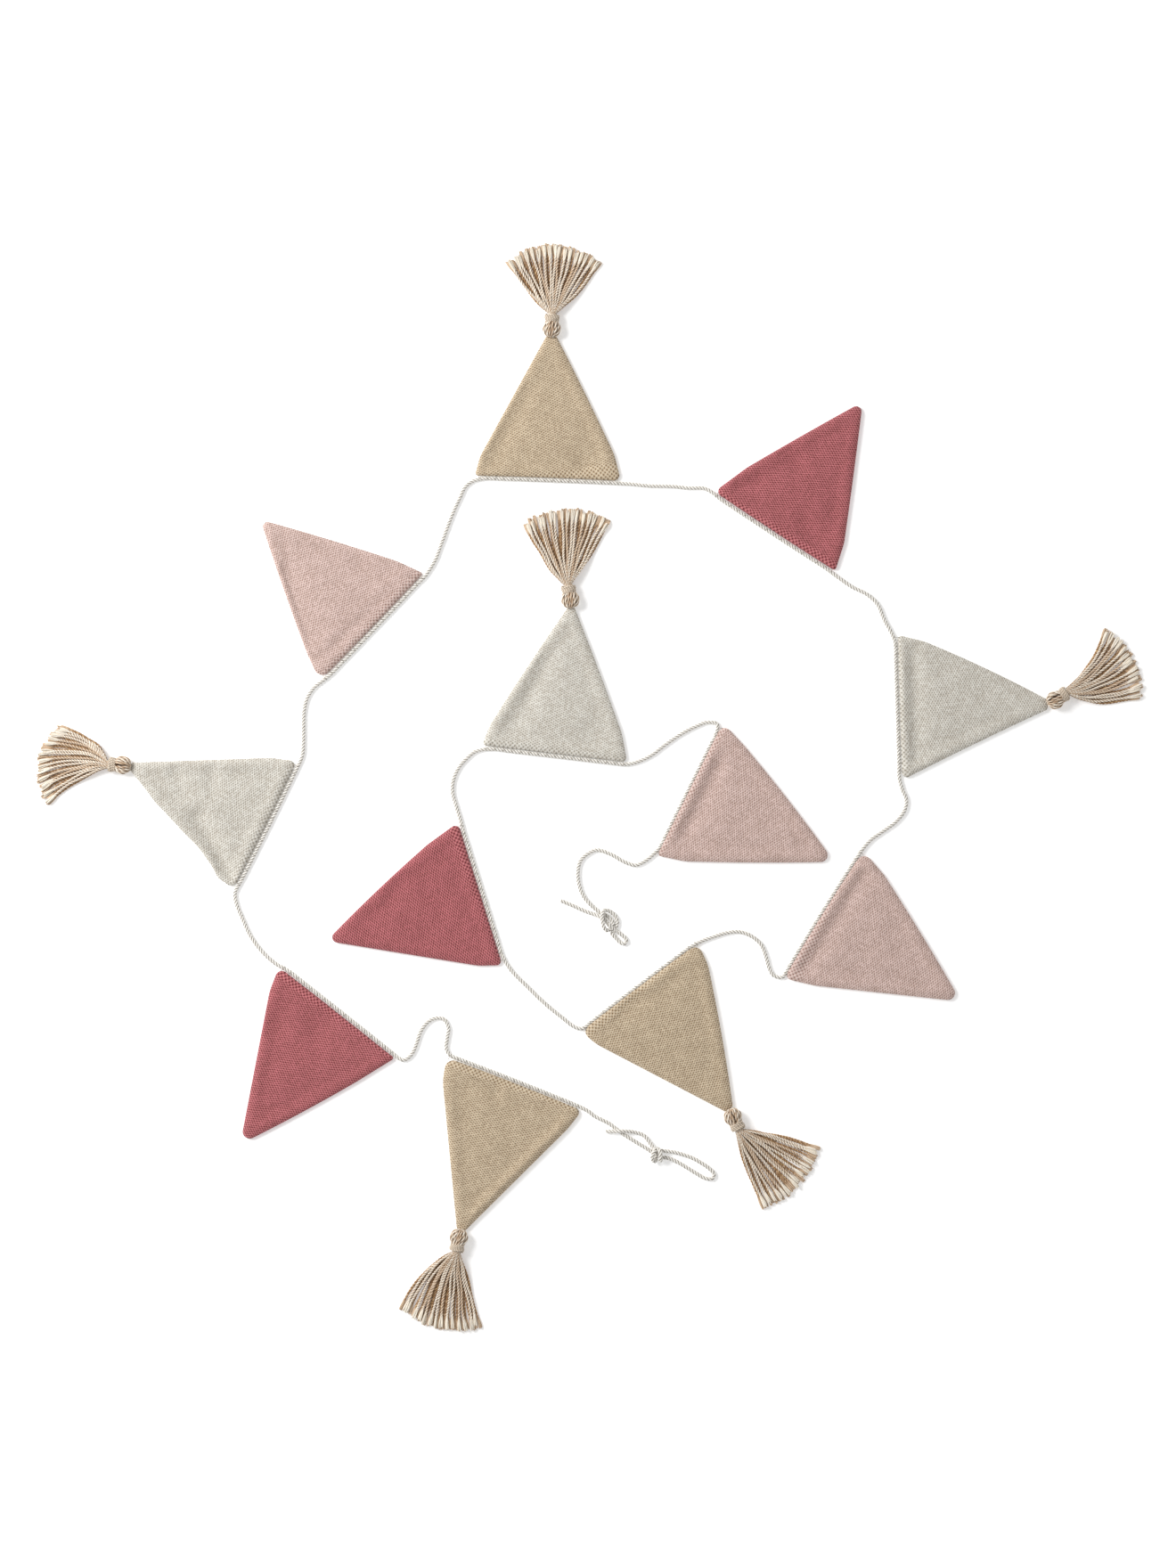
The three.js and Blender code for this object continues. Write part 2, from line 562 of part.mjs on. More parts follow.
// The cord beside a pennant's top edge, along its bow.
function baseRun(row) {
  const place = frameOf(row);
  const off = CORD_R + GAP - tuckOf(row);
  return BASE_RUN.map((t) => {
    const bow = row.bows[0] * 4 * t * (1 - t);
    return [...place(row.width * (t - 0.5), -off - bow), CORD_R];
  });
}

function mainRun() {
  const points = [];
  LINKS.forEach((link, i) => {
    points.push(...link.map(([x, y]) => [x, y, CORD_R]));
    if (i < PENNANTS.length) {
      points.push(...baseRun(PENNANTS[i]));
    }
  });
  points[0][2] = KNOT_RISE;
  points[points.length - 1][2] = KNOT_RISE;
  return points;
}

function knotGeometry(knot) {
  const section = [];
  for (let i = 0; i <= KNOT_STEPS; i += 1) {
    const angle = Math.PI * i / KNOT_STEPS;
    const ridge = 1 - KNOT_RIDGE * Math.cos(KNOT_RIDGES * 2 * angle) * Math.sin(angle);
    section.push(new THREE.Vector2(Math.sin(angle) * ridge / 2, -Math.cos(angle) / 2));
  }
  section[0].x = 0;
  section[KNOT_STEPS].x = 0;
  const geometry = new THREE.LatheGeometry(section, KNOT_SIDES);
  geometry.rotateZ(-Math.PI / 2);
  geometry.scale(knot.long, knot.across, knot.tall);
  geometry.rotateZ(knot.turn * RAD);
  geometry.computeBoundingBox();
  geometry.translate(knot.x, knot.y, -geometry.boundingBox.min.z);
  return geometry;
}

function cordGeometry() {
  const parts = [tube(mainRun())];
  for (const end of ENDS) {
    parts.push(knotGeometry(end.knot), tube(end.tail), tube(end.loop));
  }
  return joined(parts);
}

const bunting = new THREE.Group();
bunting.name = 'pennant_bunting';
PENNANTS.forEach((row, i) => {
  const number = String(row.n).padStart(2, '0');
  bunting.add(solid(`pennant_${number}`, pennantGeometry(row), KNITS[i % KNITS.length]));
  const tassel = tasselOf(row);
  if (tassel) {
    const { head, neck } = tasselGeometry(row, tassel);
    bunting.add(solid(`tassel_${number}`, head, YARN));
    bunting.add(solid(`neck_binding_${number}`, neck, CREAM));
  }
});
bunting.add(solid('cord', cordGeometry(), COTTON));

export default bunting;
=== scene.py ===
# Knitted pennant bunting laid out flat: its cord, cloth and yarn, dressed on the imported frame.
# Metres, +Z up. z = 0 is the surface it lies on, +X and +Y are right and up in the photograph.
import math

import bpy
import numpy as np
from bpy.props import FloatProperty, FloatVectorProperty, IntProperty, PointerProperty
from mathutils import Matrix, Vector, noise


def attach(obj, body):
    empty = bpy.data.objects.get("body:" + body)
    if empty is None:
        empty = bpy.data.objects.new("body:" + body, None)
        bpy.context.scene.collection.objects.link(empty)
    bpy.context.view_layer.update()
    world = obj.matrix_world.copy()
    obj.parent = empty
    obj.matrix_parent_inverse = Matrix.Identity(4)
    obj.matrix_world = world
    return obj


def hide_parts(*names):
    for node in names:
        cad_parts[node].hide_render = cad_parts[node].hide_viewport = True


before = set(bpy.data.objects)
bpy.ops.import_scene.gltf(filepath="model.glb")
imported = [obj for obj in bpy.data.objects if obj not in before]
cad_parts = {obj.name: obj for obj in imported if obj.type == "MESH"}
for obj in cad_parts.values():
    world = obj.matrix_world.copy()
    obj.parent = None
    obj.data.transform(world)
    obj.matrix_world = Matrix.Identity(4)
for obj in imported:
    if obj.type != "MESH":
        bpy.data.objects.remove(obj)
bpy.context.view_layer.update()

bl_info = {
    "name": "Knitted pennant bunting",
    "version": (1, 0, 0),
    "blender": (4, 5, 0),
    "location": "View3D > Sidebar > Bunting",
    "description": "Knitted pennants and yarn tassels on a twisted cord",
    "category": "Add Mesh",
}

GAP = 0.0003

# Photograph: its size and the pixel that is x = y = 0, and how much cloth one pixel shows.
PHOTO_WIDTH = 1320
PHOTO_HEIGHT = 1760
ORIGIN_PX = (661.5, 883.5)
PIXEL = 0.00082

# Pennant section: rings from the surface up, each an inset from the outline and a height,
# and how many finer rings lie between it and the next one.
EDGE_RINGS = [
    {"inset": 0.0020, "z": 0.0000, "finer": 2},
    {"inset": 0.0005, "z": 0.0009, "finer": 2},
    {"inset": 0.0000, "z": 0.0027, "finer": 3},
    {"inset": 0.0009, "z": 0.0047, "finer": 3},
    {"inset": 0.0032, "z": 0.0062, "finer": 3},
    {"inset": 0.0062, "z": 0.0067, "finer": 2},
    {"inset": 0.0092, "z": 0.0064, "finer": 2},
    {"inset": 0.0130, "z": 0.0058, "finer": 2},
    {"inset": 0.0190, "z": 0.0060, "finer": 3},
    {"inset": 0.0300, "z": 0.0066, "finer": 3},
    {"inset": 0.0400, "z": 0.0068, "finer": 1},
]
UNDERSIDE_INSETS = [0.030, 0.016, 0.007]
CROWN_Z = 0.0068
SOFT_FROM = 0.0012
SOFT_FULL = 0.0060
SOFT_ABOVE = 0.0030
TUCK_BELOW = 0.0040
CUT_TIP_R = 0.0034
CUT_TIP_WIDTH = 0.8
CORNER_STEPS = 9
SHOULDER_R = 0.050
SIDE_STEP = 0.0030
UNROLL_FROM = 0.0090
RIPPLE = 0.0009
RIPPLE_SIZE = 0.024
FOLD_SHARE = 2.1

# One row for each pennant, from the outer end of the cord to the inner end.
# x, y is the middle of its top edge, turn is the direction of that edge along the cord in degrees,
# lean is how far the point stands off the middle, the bows are how far each side curves outward,
# grain is how far the knit's columns are turned from the middle line, in degrees. nip is how far the
# two corners are drawn in along the top edge, run is how long the stretch of side is that turns in to
# them, and round is the radius of the first corner, the second one and, with no tassel, the point.
PENNANTS = [
    {"n": 1, "x": -0.0705, "y": -0.2721, "turn": 158.6, "width": 0.1433, "height": 0.1535,
     "lean": -0.005, "bows": [0.0007, 0.0, 0.0], "grain": 2,
     "nip": [0.0028, 0.0064], "run": [0.023, 0.024], "round": [0.005, 0.008]},
    {"n": 2, "x": -0.233, "y": -0.2066, "turn": 141.7, "width": 0.1433, "height": 0.1509,
     "lean": -0.0066, "bows": [0.0002, 0.0, 0.0008], "grain": 2.5,
     "nip": [0.0027, 0.0048], "run": [0.044, 0.026], "round": [0.002, 0.006, 0.0065]},
    {"n": 3, "x": -0.2973, "y": -0.0341, "turn": 63.6, "width": 0.138, "height": 0.1443,
     "lean": -0.0076, "bows": [0.0005, 0.0, 0.0], "grain": 0,
     "nip": [0, 0.0043], "run": [0, 0.026], "round": [0.0065, 0.0052]},
    {"n": 4, "x": -0.1997, "y": 0.1473, "turn": 46.2, "width": 0.1452, "height": 0.1432,
     "lean": 0.0, "bows": [0.0004, 0.0007, 0.0007], "grain": 1.5,
     "nip": [0.0032, 0.0044], "run": [0.03, 0.029], "round": [0.008, 0.002, 0.0045]},
    {"n": 5, "x": -0.0377, "y": 0.284, "turn": -2.1, "width": 0.1451, "height": 0.1424,
     "lean": -0.0021, "bows": [-0.0004, 0.0005, 0.0], "grain": 10,
     "nip": [0.0048, 0.0055], "run": [0.02, 0.028], "round": [0.0025, 0.0053]},
    {"n": 6, "x": 0.1706, "y": 0.235, "turn": -33.3, "width": 0.1436, "height": 0.1446,
     "lean": 0.002, "bows": [0.0005, 0.0003, 0.0004], "grain": 1.5,
     "nip": [0.005, 0.0054], "run": [0.04, 0.029], "round": [0.005, 0.0027, 0.005]},
    {"n": 7, "x": 0.2854, "y": 0.0762, "turn": -88.2, "width": 0.1396, "height": 0.148,
     "lean": 0.0048, "bows": [0.0, -0.0007, 0.0015], "grain": 2.5,
     "nip": [0.0058, 0], "run": [0.029, 0], "round": [0.0035, 0.0045]},
    {"n": 8, "x": 0.2153, "y": -0.1161, "turn": -121.8, "width": 0.1485, "height": 0.1506,
     "lean": 0.002, "bows": [0.0009, 0.0, 0.0007], "grain": 9.5,
     "nip": [0.0058, 0.004], "run": [0.034, 0.032], "round": [0.008, 0.0055, 0.0065]},
    {"n": 9, "x": 0.0467, "y": -0.1829, "turn": -142.9, "width": 0.1461, "height": 0.1505,
     "lean": 0.003, "bows": [0.0006, 0.0, 0.0011], "grain": 4,
     "nip": [0.0066, 0.0045], "run": [0.026, 0.02], "round": [0.008, 0.0075]},
    {"n": 10, "x": -0.1005, "y": -0.0978, "turn": 107.3, "width": 0.1475, "height": 0.1483,
     "lean": 0.0005, "bows": [0.0, 0.0011, 0.0], "grain": 3.5,
     "nip": [0.0046, 0.0053], "run": [0.024, 0.038], "round": [0.004, 0.0048, 0.005]},
    {"n": 11, "x": -0.0317, "y": 0.0306, "turn": -6.7, "width": 0.1445, "height": 0.1431,
     "lean": -0.0007, "bows": [0.0, 0.0006, 0.0008], "grain": -1,
     "nip": [0.0046, 0.0052], "run": [0.021, 0.029], "round": [0.003, 0.004]},
    {"n": 12, "x": 0.0914, "y": -0.0029, "turn": -116.3, "width": 0.1457, "height": 0.1501,
     "lean": -0.0004, "bows": [0.0, 0.0007, 0.0011], "grain": 0,
     "nip": [0.003, 0.006], "run": [0.032, 0.029], "round": [0.007, 0.003, 0.0065]},
]

# The knits in the order of the pennants, with the colour of the painted highlight on their knots
# and the share of their own colour that is left as painted shade in the pits between the stitches.
KNITS = [
    {"slot": "tan_knit", "knots": (0.84, 0.77, 0.63), "pits": (0.26, 0.19, 0.13)},
    {"slot": "rose_knit", "knots": (0.88, 0.40, 0.40), "pits": (0.16, 0.07, 0.09)},
    {"slot": "chalk_knit", "knots": (0.92, 0.91, 0.87), "pits": (0.46, 0.44, 0.40)},
    {"slot": "blush_knit", "knots": (0.92, 0.80, 0.74), "pits": (0.40, 0.30, 0.27)},
]

# Pennants whose top edge lies partly over the cord, and how far.
TUCKED = [8, 9, 12]
TUCK = 0.0018

# Waves in an edge: side 2 runs from the point back to the first corner, at is the distance
# from the first corner, out is how far the edge moves outward there.
EDGE_WAVES = [
    {"n": 3, "side": 2, "at": 0.009, "reach": 0.007, "out": 0.0022},
    {"n": 3, "side": 2, "at": 0.042, "reach": 0.016, "out": -0.0019},
    {"n": 3, "side": 2, "at": 0.099, "reach": 0.017, "out": 0.0014},
]

# Soft valleys (depth above 0) and ridges (depth below 0) in the face, from u1, v1 to u2, v2 in the
# pennant's own frame: u along the top edge from its middle, v from the top edge to the point.
FOLDS = [
    {"n": 1, "u1": -0.059, "v1": 0.018, "u2": -0.013, "v2": 0.124, "reach": 0.007, "depth": -0.0007},
    {"n": 1, "u1": 0.013, "v1": 0.001, "u2": 0.01, "v2": 0.017, "reach": 0.006, "depth": 0.0007},
    {"n": 2, "u1": 0.037, "v1": 0.041, "u2": 0.039, "v2": 0.046, "reach": 0.013, "depth": 0.0011},
    {"n": 2, "u1": 0.001, "v1": 0.026, "u2": 0.002, "v2": 0.017, "reach": 0.012, "depth": 0.0011},
    {"n": 3, "u1": -0.022, "v1": 0.058, "u2": -0.06, "v2": 0.005, "reach": 0.008, "depth": 0.0019},
    {"n": 3, "u1": 0.008, "v1": 0.096, "u2": -0.007, "v2": 0.083, "reach": 0.007, "depth": 0.0009},
    {"n": 3, "u1": 0.024, "v1": 0.067, "u2": 0.006, "v2": 0.058, "reach": 0.008, "depth": 0.0009},
    {"n": 4, "u1": -0.018, "v1": 0.094, "u2": -0.06, "v2": 0.02, "reach": 0.008, "depth": 0.0013},
    {"n": 4, "u1": -0.057, "v1": 0.023, "u2": 0.059, "v2": 0.014, "reach": 0.007, "depth": -0.0006},
    {"n": 5, "u1": -0.056, "v1": 0.012, "u2": -0.024, "v2": 0.079, "reach": 0.009, "depth": 0.001},
    {"n": 5, "u1": 0.032, "v1": 0.011, "u2": 0.032, "v2": 0.019, "reach": 0.009, "depth": 0.0011},
    {"n": 6, "u1": -0.034, "v1": 0.068, "u2": -0.017, "v2": 0.064, "reach": 0.009, "depth": 0.001},
    {"n": 6, "u1": -0.051, "v1": 0.018, "u2": -0.039, "v2": 0.03, "reach": 0.009, "depth": 0.0011},
    {"n": 6, "u1": 0.033, "v1": 0.018, "u2": 0.019, "v2": 0.024, "reach": 0.01, "depth": 0.001},
    {"n": 7, "u1": -0.049, "v1": 0.014, "u2": 0.049, "v2": 0.014, "reach": 0.008, "depth": 0.0012},
    {"n": 8, "u1": -0.046, "v1": 0.013, "u2": 0.05, "v2": 0.013, "reach": 0.008, "depth": 0.0011},
    {"n": 9, "u1": 0.024, "v1": 0.006, "u2": 0.009, "v2": 0.007, "reach": 0.009, "depth": 0.0009},
    {"n": 10, "u1": 0.001, "v1": 0.037, "u2": 0.017, "v2": 0.045, "reach": 0.009, "depth": 0.0011},
    {"n": 10, "u1": 0.036, "v1": 0.065, "u2": 0.026, "v2": 0.077, "reach": 0.009, "depth": 0.001},
    {"n": 11, "u1": -0.02, "v1": 0.081, "u2": -0.032, "v2": 0.043, "reach": 0.009, "depth": 0.0012},
    {"n": 11, "u1": -0.042, "v1": 0.021, "u2": -0.038, "v2": 0.025, "reach": 0.009, "depth": 0.0009},
    {"n": 11, "u1": 0.032, "v1": 0.021, "u2": 0.028, "v2": 0.025, "reach": 0.009, "depth": 0.0009},
    {"n": 12, "u1": -0.032, "v1": 0.015, "u2": 0.037, "v2": 0.015, "reach": 0.008, "depth": 0.0012},
]

# Tassels: n is the pennant, cut how much of its point the head covers, dir the way the head points.
# seat is how far the head starts past the middle of the cut point. The strands end between cw and
# ccw degrees off dir at reach from the neck, flare widens their starts, bend swings the starts back
# and trim shortens the cw side.
TASSELS = [
    {"n": 1, "cut": 0.01, "seat": -0.0012, "dir": -101, "cw": -34, "ccw": 29,
     "reach": 0.073, "flare": 1.85, "bend": 11, "trim": 0.0},
    {"n": 3, "cut": 0.0085, "seat": -0.00085, "dir": 177, "cw": -36, "ccw": 37,
     "reach": 0.067, "flare": 1.42, "bend": 27, "trim": 0.01},
    {"n": 5, "cut": 0.0115, "seat": -0.00125, "dir": 88, "cw": -42, "ccw": 43,
     "reach": 0.064, "flare": 1.45, "bend": 0, "trim": 0.0},
    {"n": 7, "cut": 0.012, "seat": -0.0001, "dir": 32, "cw": -37, "ccw": 27,
     "reach": 0.0685, "flare": 1, "bend": 25, "trim": 0.0},
    {"n": 9, "cut": 0.0105, "seat": -0.0003, "dir": -65, "cw": -9, "ccw": 53,
     "reach": 0.075, "flare": 1.35, "bend": 3, "trim": 0.0},
    {"n": 11, "cut": 0.007, "seat": -0.0011, "dir": 99, "cw": -43, "ccw": 27,
     "reach": 0.07, "flare": 1.37, "bend": -6, "trim": 0.0},
]
HEAD_SECTION = [
    [0.0014, 0.0002],
    [0.0042, 0.0010],
    [0.0066, 0.0030],
    [0.0080, 0.0070],
    [0.0071, 0.0114],
    [0.0056, 0.0140],
    [0.0054, 0.0200],
]
HEAD_FLAT = 0.85
HEAD_Z = 0.0068
NECK_START = 0.0138
NECK_END = 0.0212
NECK_R = 0.0061
HEAD_RIDGES = 15
RIDGE_SINK = 0.0007
BEND_SHARE = 0.38
FLARE_SHARE = 0.45
ROOT_IN = 0.0015
ROOT_OUT = 0.0009
ROOT_SPREAD = 0.0036
LAYER_RISE = 0.0056
STRAND_POINTS = 22
STRAND_WANDER = 0.0006
BINDING_TURNS = 4
BINDING_STEPS = 24

# Cord runs between the pennants, listed centre points x, y on the surface.
LINKS = [
    [
        [0.059, -0.3363], [0.052, -0.332], [0.04, -0.3248], [0.0285, -0.3173],
        [0.0176, -0.3091], [0.004, -0.3022], [-0.0012, -0.298],
    ],
    [
        [-0.1276, -0.2469], [-0.1316, -0.2407], [-0.1308, -0.2308], [-0.1296, -0.2218],
        [-0.1338, -0.2135], [-0.1414, -0.2124], [-0.1488, -0.2161], [-0.1554, -0.2251],
        [-0.1594, -0.2368], [-0.1639, -0.2461], [-0.1713, -0.2509],
    ],
    [
        [-0.2901, -0.1613], [-0.3026, -0.1496], [-0.312, -0.1365], [-0.3189, -0.1218],
        [-0.3248, -0.107], [-0.326, -0.097],
    ],
    [
        [-0.2642, 0.0288], [-0.2632, 0.039], [-0.263, 0.055], [-0.2624, 0.071],
        [-0.2592, 0.083], [-0.2534, 0.0916], [-0.2459, 0.0976],
    ],
    [
        [-0.1521, 0.1931], [-0.1428, 0.2073], [-0.1365, 0.2231], [-0.1307, 0.2391],
        [-0.1241, 0.2558], [-0.1191, 0.2664], [-0.1145, 0.276], [-0.1075, 0.2815],
    ],
    [
        [0.0381, 0.2788], [0.055, 0.2772], [0.075, 0.2768], [0.092, 0.2752], [0.1055, 0.2749],
        [0.1135, 0.2706],
    ],
    [
        [0.2292, 0.1927], [0.241, 0.1845], [0.255, 0.1775], [0.2649, 0.1683], [0.271, 0.1545],
        [0.2784, 0.1406],
    ],
    [
        [0.2849, 0.0094], [0.2878, -0.002], [0.2916, -0.0119], [0.2897, -0.0219],
        [0.2818, -0.0319], [0.271, -0.0399], [0.2595, -0.0479], [0.2513, -0.057],
    ],
    [
        [0.1775, -0.1747], [0.1693, -0.173], [0.1652, -0.166], [0.1623, -0.1555],
        [0.1579, -0.1449], [0.149, -0.1371], [0.138, -0.133], [0.1261, -0.134],
        [0.1144, -0.1375], [0.1034, -0.1415],
    ],
    [
        [-0.0062, -0.222], [-0.0135, -0.2206], [-0.027, -0.2105], [-0.0405, -0.1995],
        [-0.0566, -0.1841], [-0.0726, -0.1677],
    ],
    [
        [-0.1185, -0.0307], [-0.1222, -0.0185], [-0.126, -0.004], [-0.1249, 0.0075],
        [-0.12, 0.0183], [-0.1124, 0.027], [-0.1041, 0.0332],
    ],
    [
        [0.0332, 0.0209], [0.044, 0.0233], [0.0565, 0.0292], [0.0695, 0.039], [0.0838, 0.0487],
        [0.0984, 0.0563], [0.1086, 0.0598], [0.1174, 0.0581],
    ],
    [
        [0.0586, -0.0619], [0.0515, -0.0677], [0.0426, -0.0717], [0.032, -0.0686],
        [0.0195, -0.0617], [0.007, -0.0578], [-0.0014, -0.0611], [-0.0081, -0.0675],
        [-0.0106, -0.0775], [-0.0099, -0.088], [-0.0064, -0.0985], [-0.0005, -0.1065],
        [0.0065, -0.1128], [0.0135, -0.1182],
    ],
]

# The two ends of the cord, x, y, z of its centre: from the free outer tail through the outer knot,
# loop and knot to the first run, then from the last run through the inner ones to the inner tail.
OUTER_TAIL = [
    [0.0156, -0.3169, 0.002], [0.0221, -0.3164, 0.0036], [0.0286, -0.316, 0.0056],
    [0.0357, -0.3164, 0.004], [0.0426, -0.3175, 0.002], [0.0501, -0.3204, 0.002],
    [0.0547, -0.3258, 0.0026], [0.0597, -0.3329, 0.0046],
]
OUTER_LOOP = [
    [0.0652, -0.3346, 0.0044], [0.0718, -0.3348, 0.0024], [0.0783, -0.3358, 0.002],
    [0.0857, -0.3378, 0.002], [0.0939, -0.3407, 0.002], [0.1021, -0.3452, 0.002],
    [0.1099, -0.3505, 0.002], [0.1146, -0.3559, 0.002], [0.113, -0.36, 0.002],
    [0.1062, -0.3596, 0.002], [0.098, -0.3551, 0.002], [0.0898, -0.3501, 0.002],
    [0.0816, -0.3452, 0.002], [0.0734, -0.3416, 0.0024], [0.066, -0.3409, 0.0044],
]
INNER_LOOP = [
    [0.0212, -0.1354, 0.0026], [0.0244, -0.1388, 0.002], [0.0278, -0.1424, 0.002],
    [0.0316, -0.1442, 0.002], [0.034, -0.1424, 0.002], [0.0332, -0.139, 0.002],
    [0.0294, -0.1356, 0.0022], [0.0246, -0.1318, 0.003],
]
INNER_TAIL = [
    [0.011, -0.1195, 0.0042], [0.0035, -0.1166, 0.0024], [-0.0042, -0.1139, 0.002],
    [-0.015, -0.1091, 0.002], [-0.0258, -0.1045, 0.002],
]

# Outer knot: its middle, the direction of its axis in degrees, and the two wraps that show,
# each point a distance along the axis, a distance across it to the left and a height.
OUTER_KNOT = {"x": 0.0619, "y": -0.3382, "turn": -24}
TAIL_WRAP = [
    [-0.0030, 0.0036, 0.0068], [-0.0036, 0.0004, 0.0088], [-0.0030, -0.0034, 0.0084],
    [-0.0006, -0.0062, 0.0062], [0.0014, -0.0058, 0.0036], [0.0004, -0.0024, 0.0022],
    [0.0004, 0.0026, 0.0024],
]
LOOP_WRAP = [
    [0.0054, -0.0032, 0.0052], [0.0046, -0.0022, 0.0078], [0.0034, 0.0010, 0.0092],
    [0.0018, 0.0040, 0.0088], [-0.0002, 0.0058, 0.0066], [-0.0022, 0.0056, 0.0038],
    [-0.0026, 0.0028, 0.0034], [-0.0032, 0.0010, 0.0034],
]

# Inner knot: the cord's centre from the last run to the loop, x, y, z. The cord passes under the
# high left strand, turns inside the knot, comes back over it and closes the ring on the right.
INNER_KNOT_IN = [
    [0.0104, -0.1144, 0.0026], [0.0150, -0.1178, 0.0024], [0.0198, -0.1214, 0.0030],
    [0.0218, -0.1258, 0.0036], [0.0196, -0.1302, 0.0042], [0.0162, -0.1318, 0.0060],
    [0.0134, -0.1286, 0.0080], [0.0120, -0.1232, 0.0087], [0.0118, -0.1176, 0.0082],
    [0.0134, -0.1134, 0.0066], [0.0172, -0.1134, 0.0044], [0.0214, -0.1160, 0.0030],
    [0.0248, -0.1202, 0.0024], [0.0256, -0.1250, 0.0022], [0.0240, -0.1296, 0.0021],
    [0.0214, -0.1328, 0.0021],
]
INNER_KNOT_OUT = [[0.0180, -0.1266, 0.0060], [0.0150, -0.1228, 0.0036]]

ROUTE_STEP = 0.0015
FUZZ_SEED = 7

# How far a yarn's plies run from its centre, as a share of its radius.
CORD_PLY_OUT = 0.535
STRAND_PLY_OUT = 0.46
BINDING_PLY_OUT = 0.40

# Catching stitches: their thread, and how far in from the cord's edge and how high they are centred.
THREAD_R = 0.00022
THREAD_REACH = 0.0027
STITCH_IN = 0.0008
STITCH_Z = 0.0022

# Stage: the camera's lens and sensor are in millimetres, the lamp shines from the upper left.
LENS = 90.0
SENSOR = 36.0
ROOM_LIGHT = 0.52
LAMP_SIZE = 1.5
LAMP_AWAY = 3.2
LAMP_LIGHT = 2.85
LAMP_TILT = -48
LAMP_TURN = 62
LAMP_SIDE = (-0.656, 0.349, 0.669)
FLOOR_HALF = 4.0
FLOOR_Z = -0.0002
FLOOR_GLOW = 0.28


class BuntingSizes(bpy.types.PropertyGroup):
    """Sizes that change how the bunting looks without moving any of its pieces."""

    cord_radius: FloatProperty(
        name="Cord radius", description="Half the thickness of the twisted cord",
        default=0.0020, unit="LENGTH")
    cord_plies: IntProperty(
        name="Cord plies", description="Number of plies that the cord is twisted from",
        default=3, min=2, max=5)
    cord_lay: FloatProperty(
        name="Cord lay", description="Length of cord in which a ply turns once round",
        default=0.0092, unit="LENGTH")
    knit_column: FloatProperty(
        name="Knit column", description="Width of one leg of a knitted stitch",
        default=0.00203, unit="LENGTH")
    knit_course: FloatProperty(
        name="Knit course", description="Height of one knitted stitch",
        default=0.00233, unit="LENGTH")
    strand_radius: FloatProperty(
        name="Strand radius", description="Half the thickness of a tassel's strand",
        default=0.00135, unit="LENGTH")
    strand_pitch: FloatProperty(
        name="Strand pitch", description="Distance between a tassel's upper strands at its rim",
        default=0.0056, unit="LENGTH")
    under_pitch: FloatProperty(
        name="Lower strand pitch", description="Distance between a tassel's lower strands at its rim",
        default=0.0030, unit="LENGTH")
    strand_lay: FloatProperty(
        name="Strand lay", description="Length of strand in which a ply turns once round",
        default=0.0058, unit="LENGTH")
    fray_length: FloatProperty(
        name="Frayed length", description="How much of a strand's end has come untwisted",
        default=0.0120, unit="LENGTH")
    binding_radius: FloatProperty(
        name="Binding yarn radius", description="Half the thickness of the yarn round a neck",
        default=0.00105, unit="LENGTH")
    stitch_spacing: FloatProperty(
        name="Stitch spacing", description="Distance between the stitches that hold the cord",
        default=0.0075, unit="LENGTH")


class BuntingColours(bpy.types.PropertyGroup):
    """Colours of the cloth, the yarn and the cord."""

    tan_knit: FloatVectorProperty(
        name="Tan knit", description="Light side of the tan stitches",
        default=(0.66, 0.53, 0.37), size=3, subtype="COLOR", min=0, max=1)
    rose_knit: FloatVectorProperty(
        name="Rose knit", description="Light side of the dark pink stitches",
        default=(0.485, 0.135, 0.150), size=3, subtype="COLOR", min=0, max=1)
    chalk_knit: FloatVectorProperty(
        name="Chalk knit", description="Light side of the grey-white stitches",
        default=(0.735, 0.705, 0.635), size=3, subtype="COLOR", min=0, max=1)
    blush_knit: FloatVectorProperty(
        name="Blush knit", description="Light side of the light pink stitches",
        default=(0.73, 0.545, 0.495), size=3, subtype="COLOR", min=0, max=1)
    cotton: FloatVectorProperty(
        name="Cotton", description="The cord and its stitches",
        default=(0.93, 0.905, 0.86), size=3, subtype="COLOR", min=0, max=1)
    yarn_light: FloatVectorProperty(
        name="Light ply", description="The cream ply of the tassels' strands",
        default=(1.0, 0.94, 0.84), size=3, subtype="COLOR", min=0, max=1)
    yarn_dark: FloatVectorProperty(
        name="Dark ply", description="The tan ply of the tassels",
        default=(0.56, 0.385, 0.235), size=3, subtype="COLOR", min=0, max=1)
    frayed: FloatVectorProperty(
        name="Frayed ends", description="The pale fibres at the tassels' rims",
        default=(0.97, 0.92, 0.83), size=3, subtype="COLOR", min=0, max=1)
    binding: FloatVectorProperty(
        name="Binding yarn", description="The cream yarn round the tassels' necks",
        default=(0.77, 0.67, 0.56), size=3, subtype="COLOR", min=0, max=1)


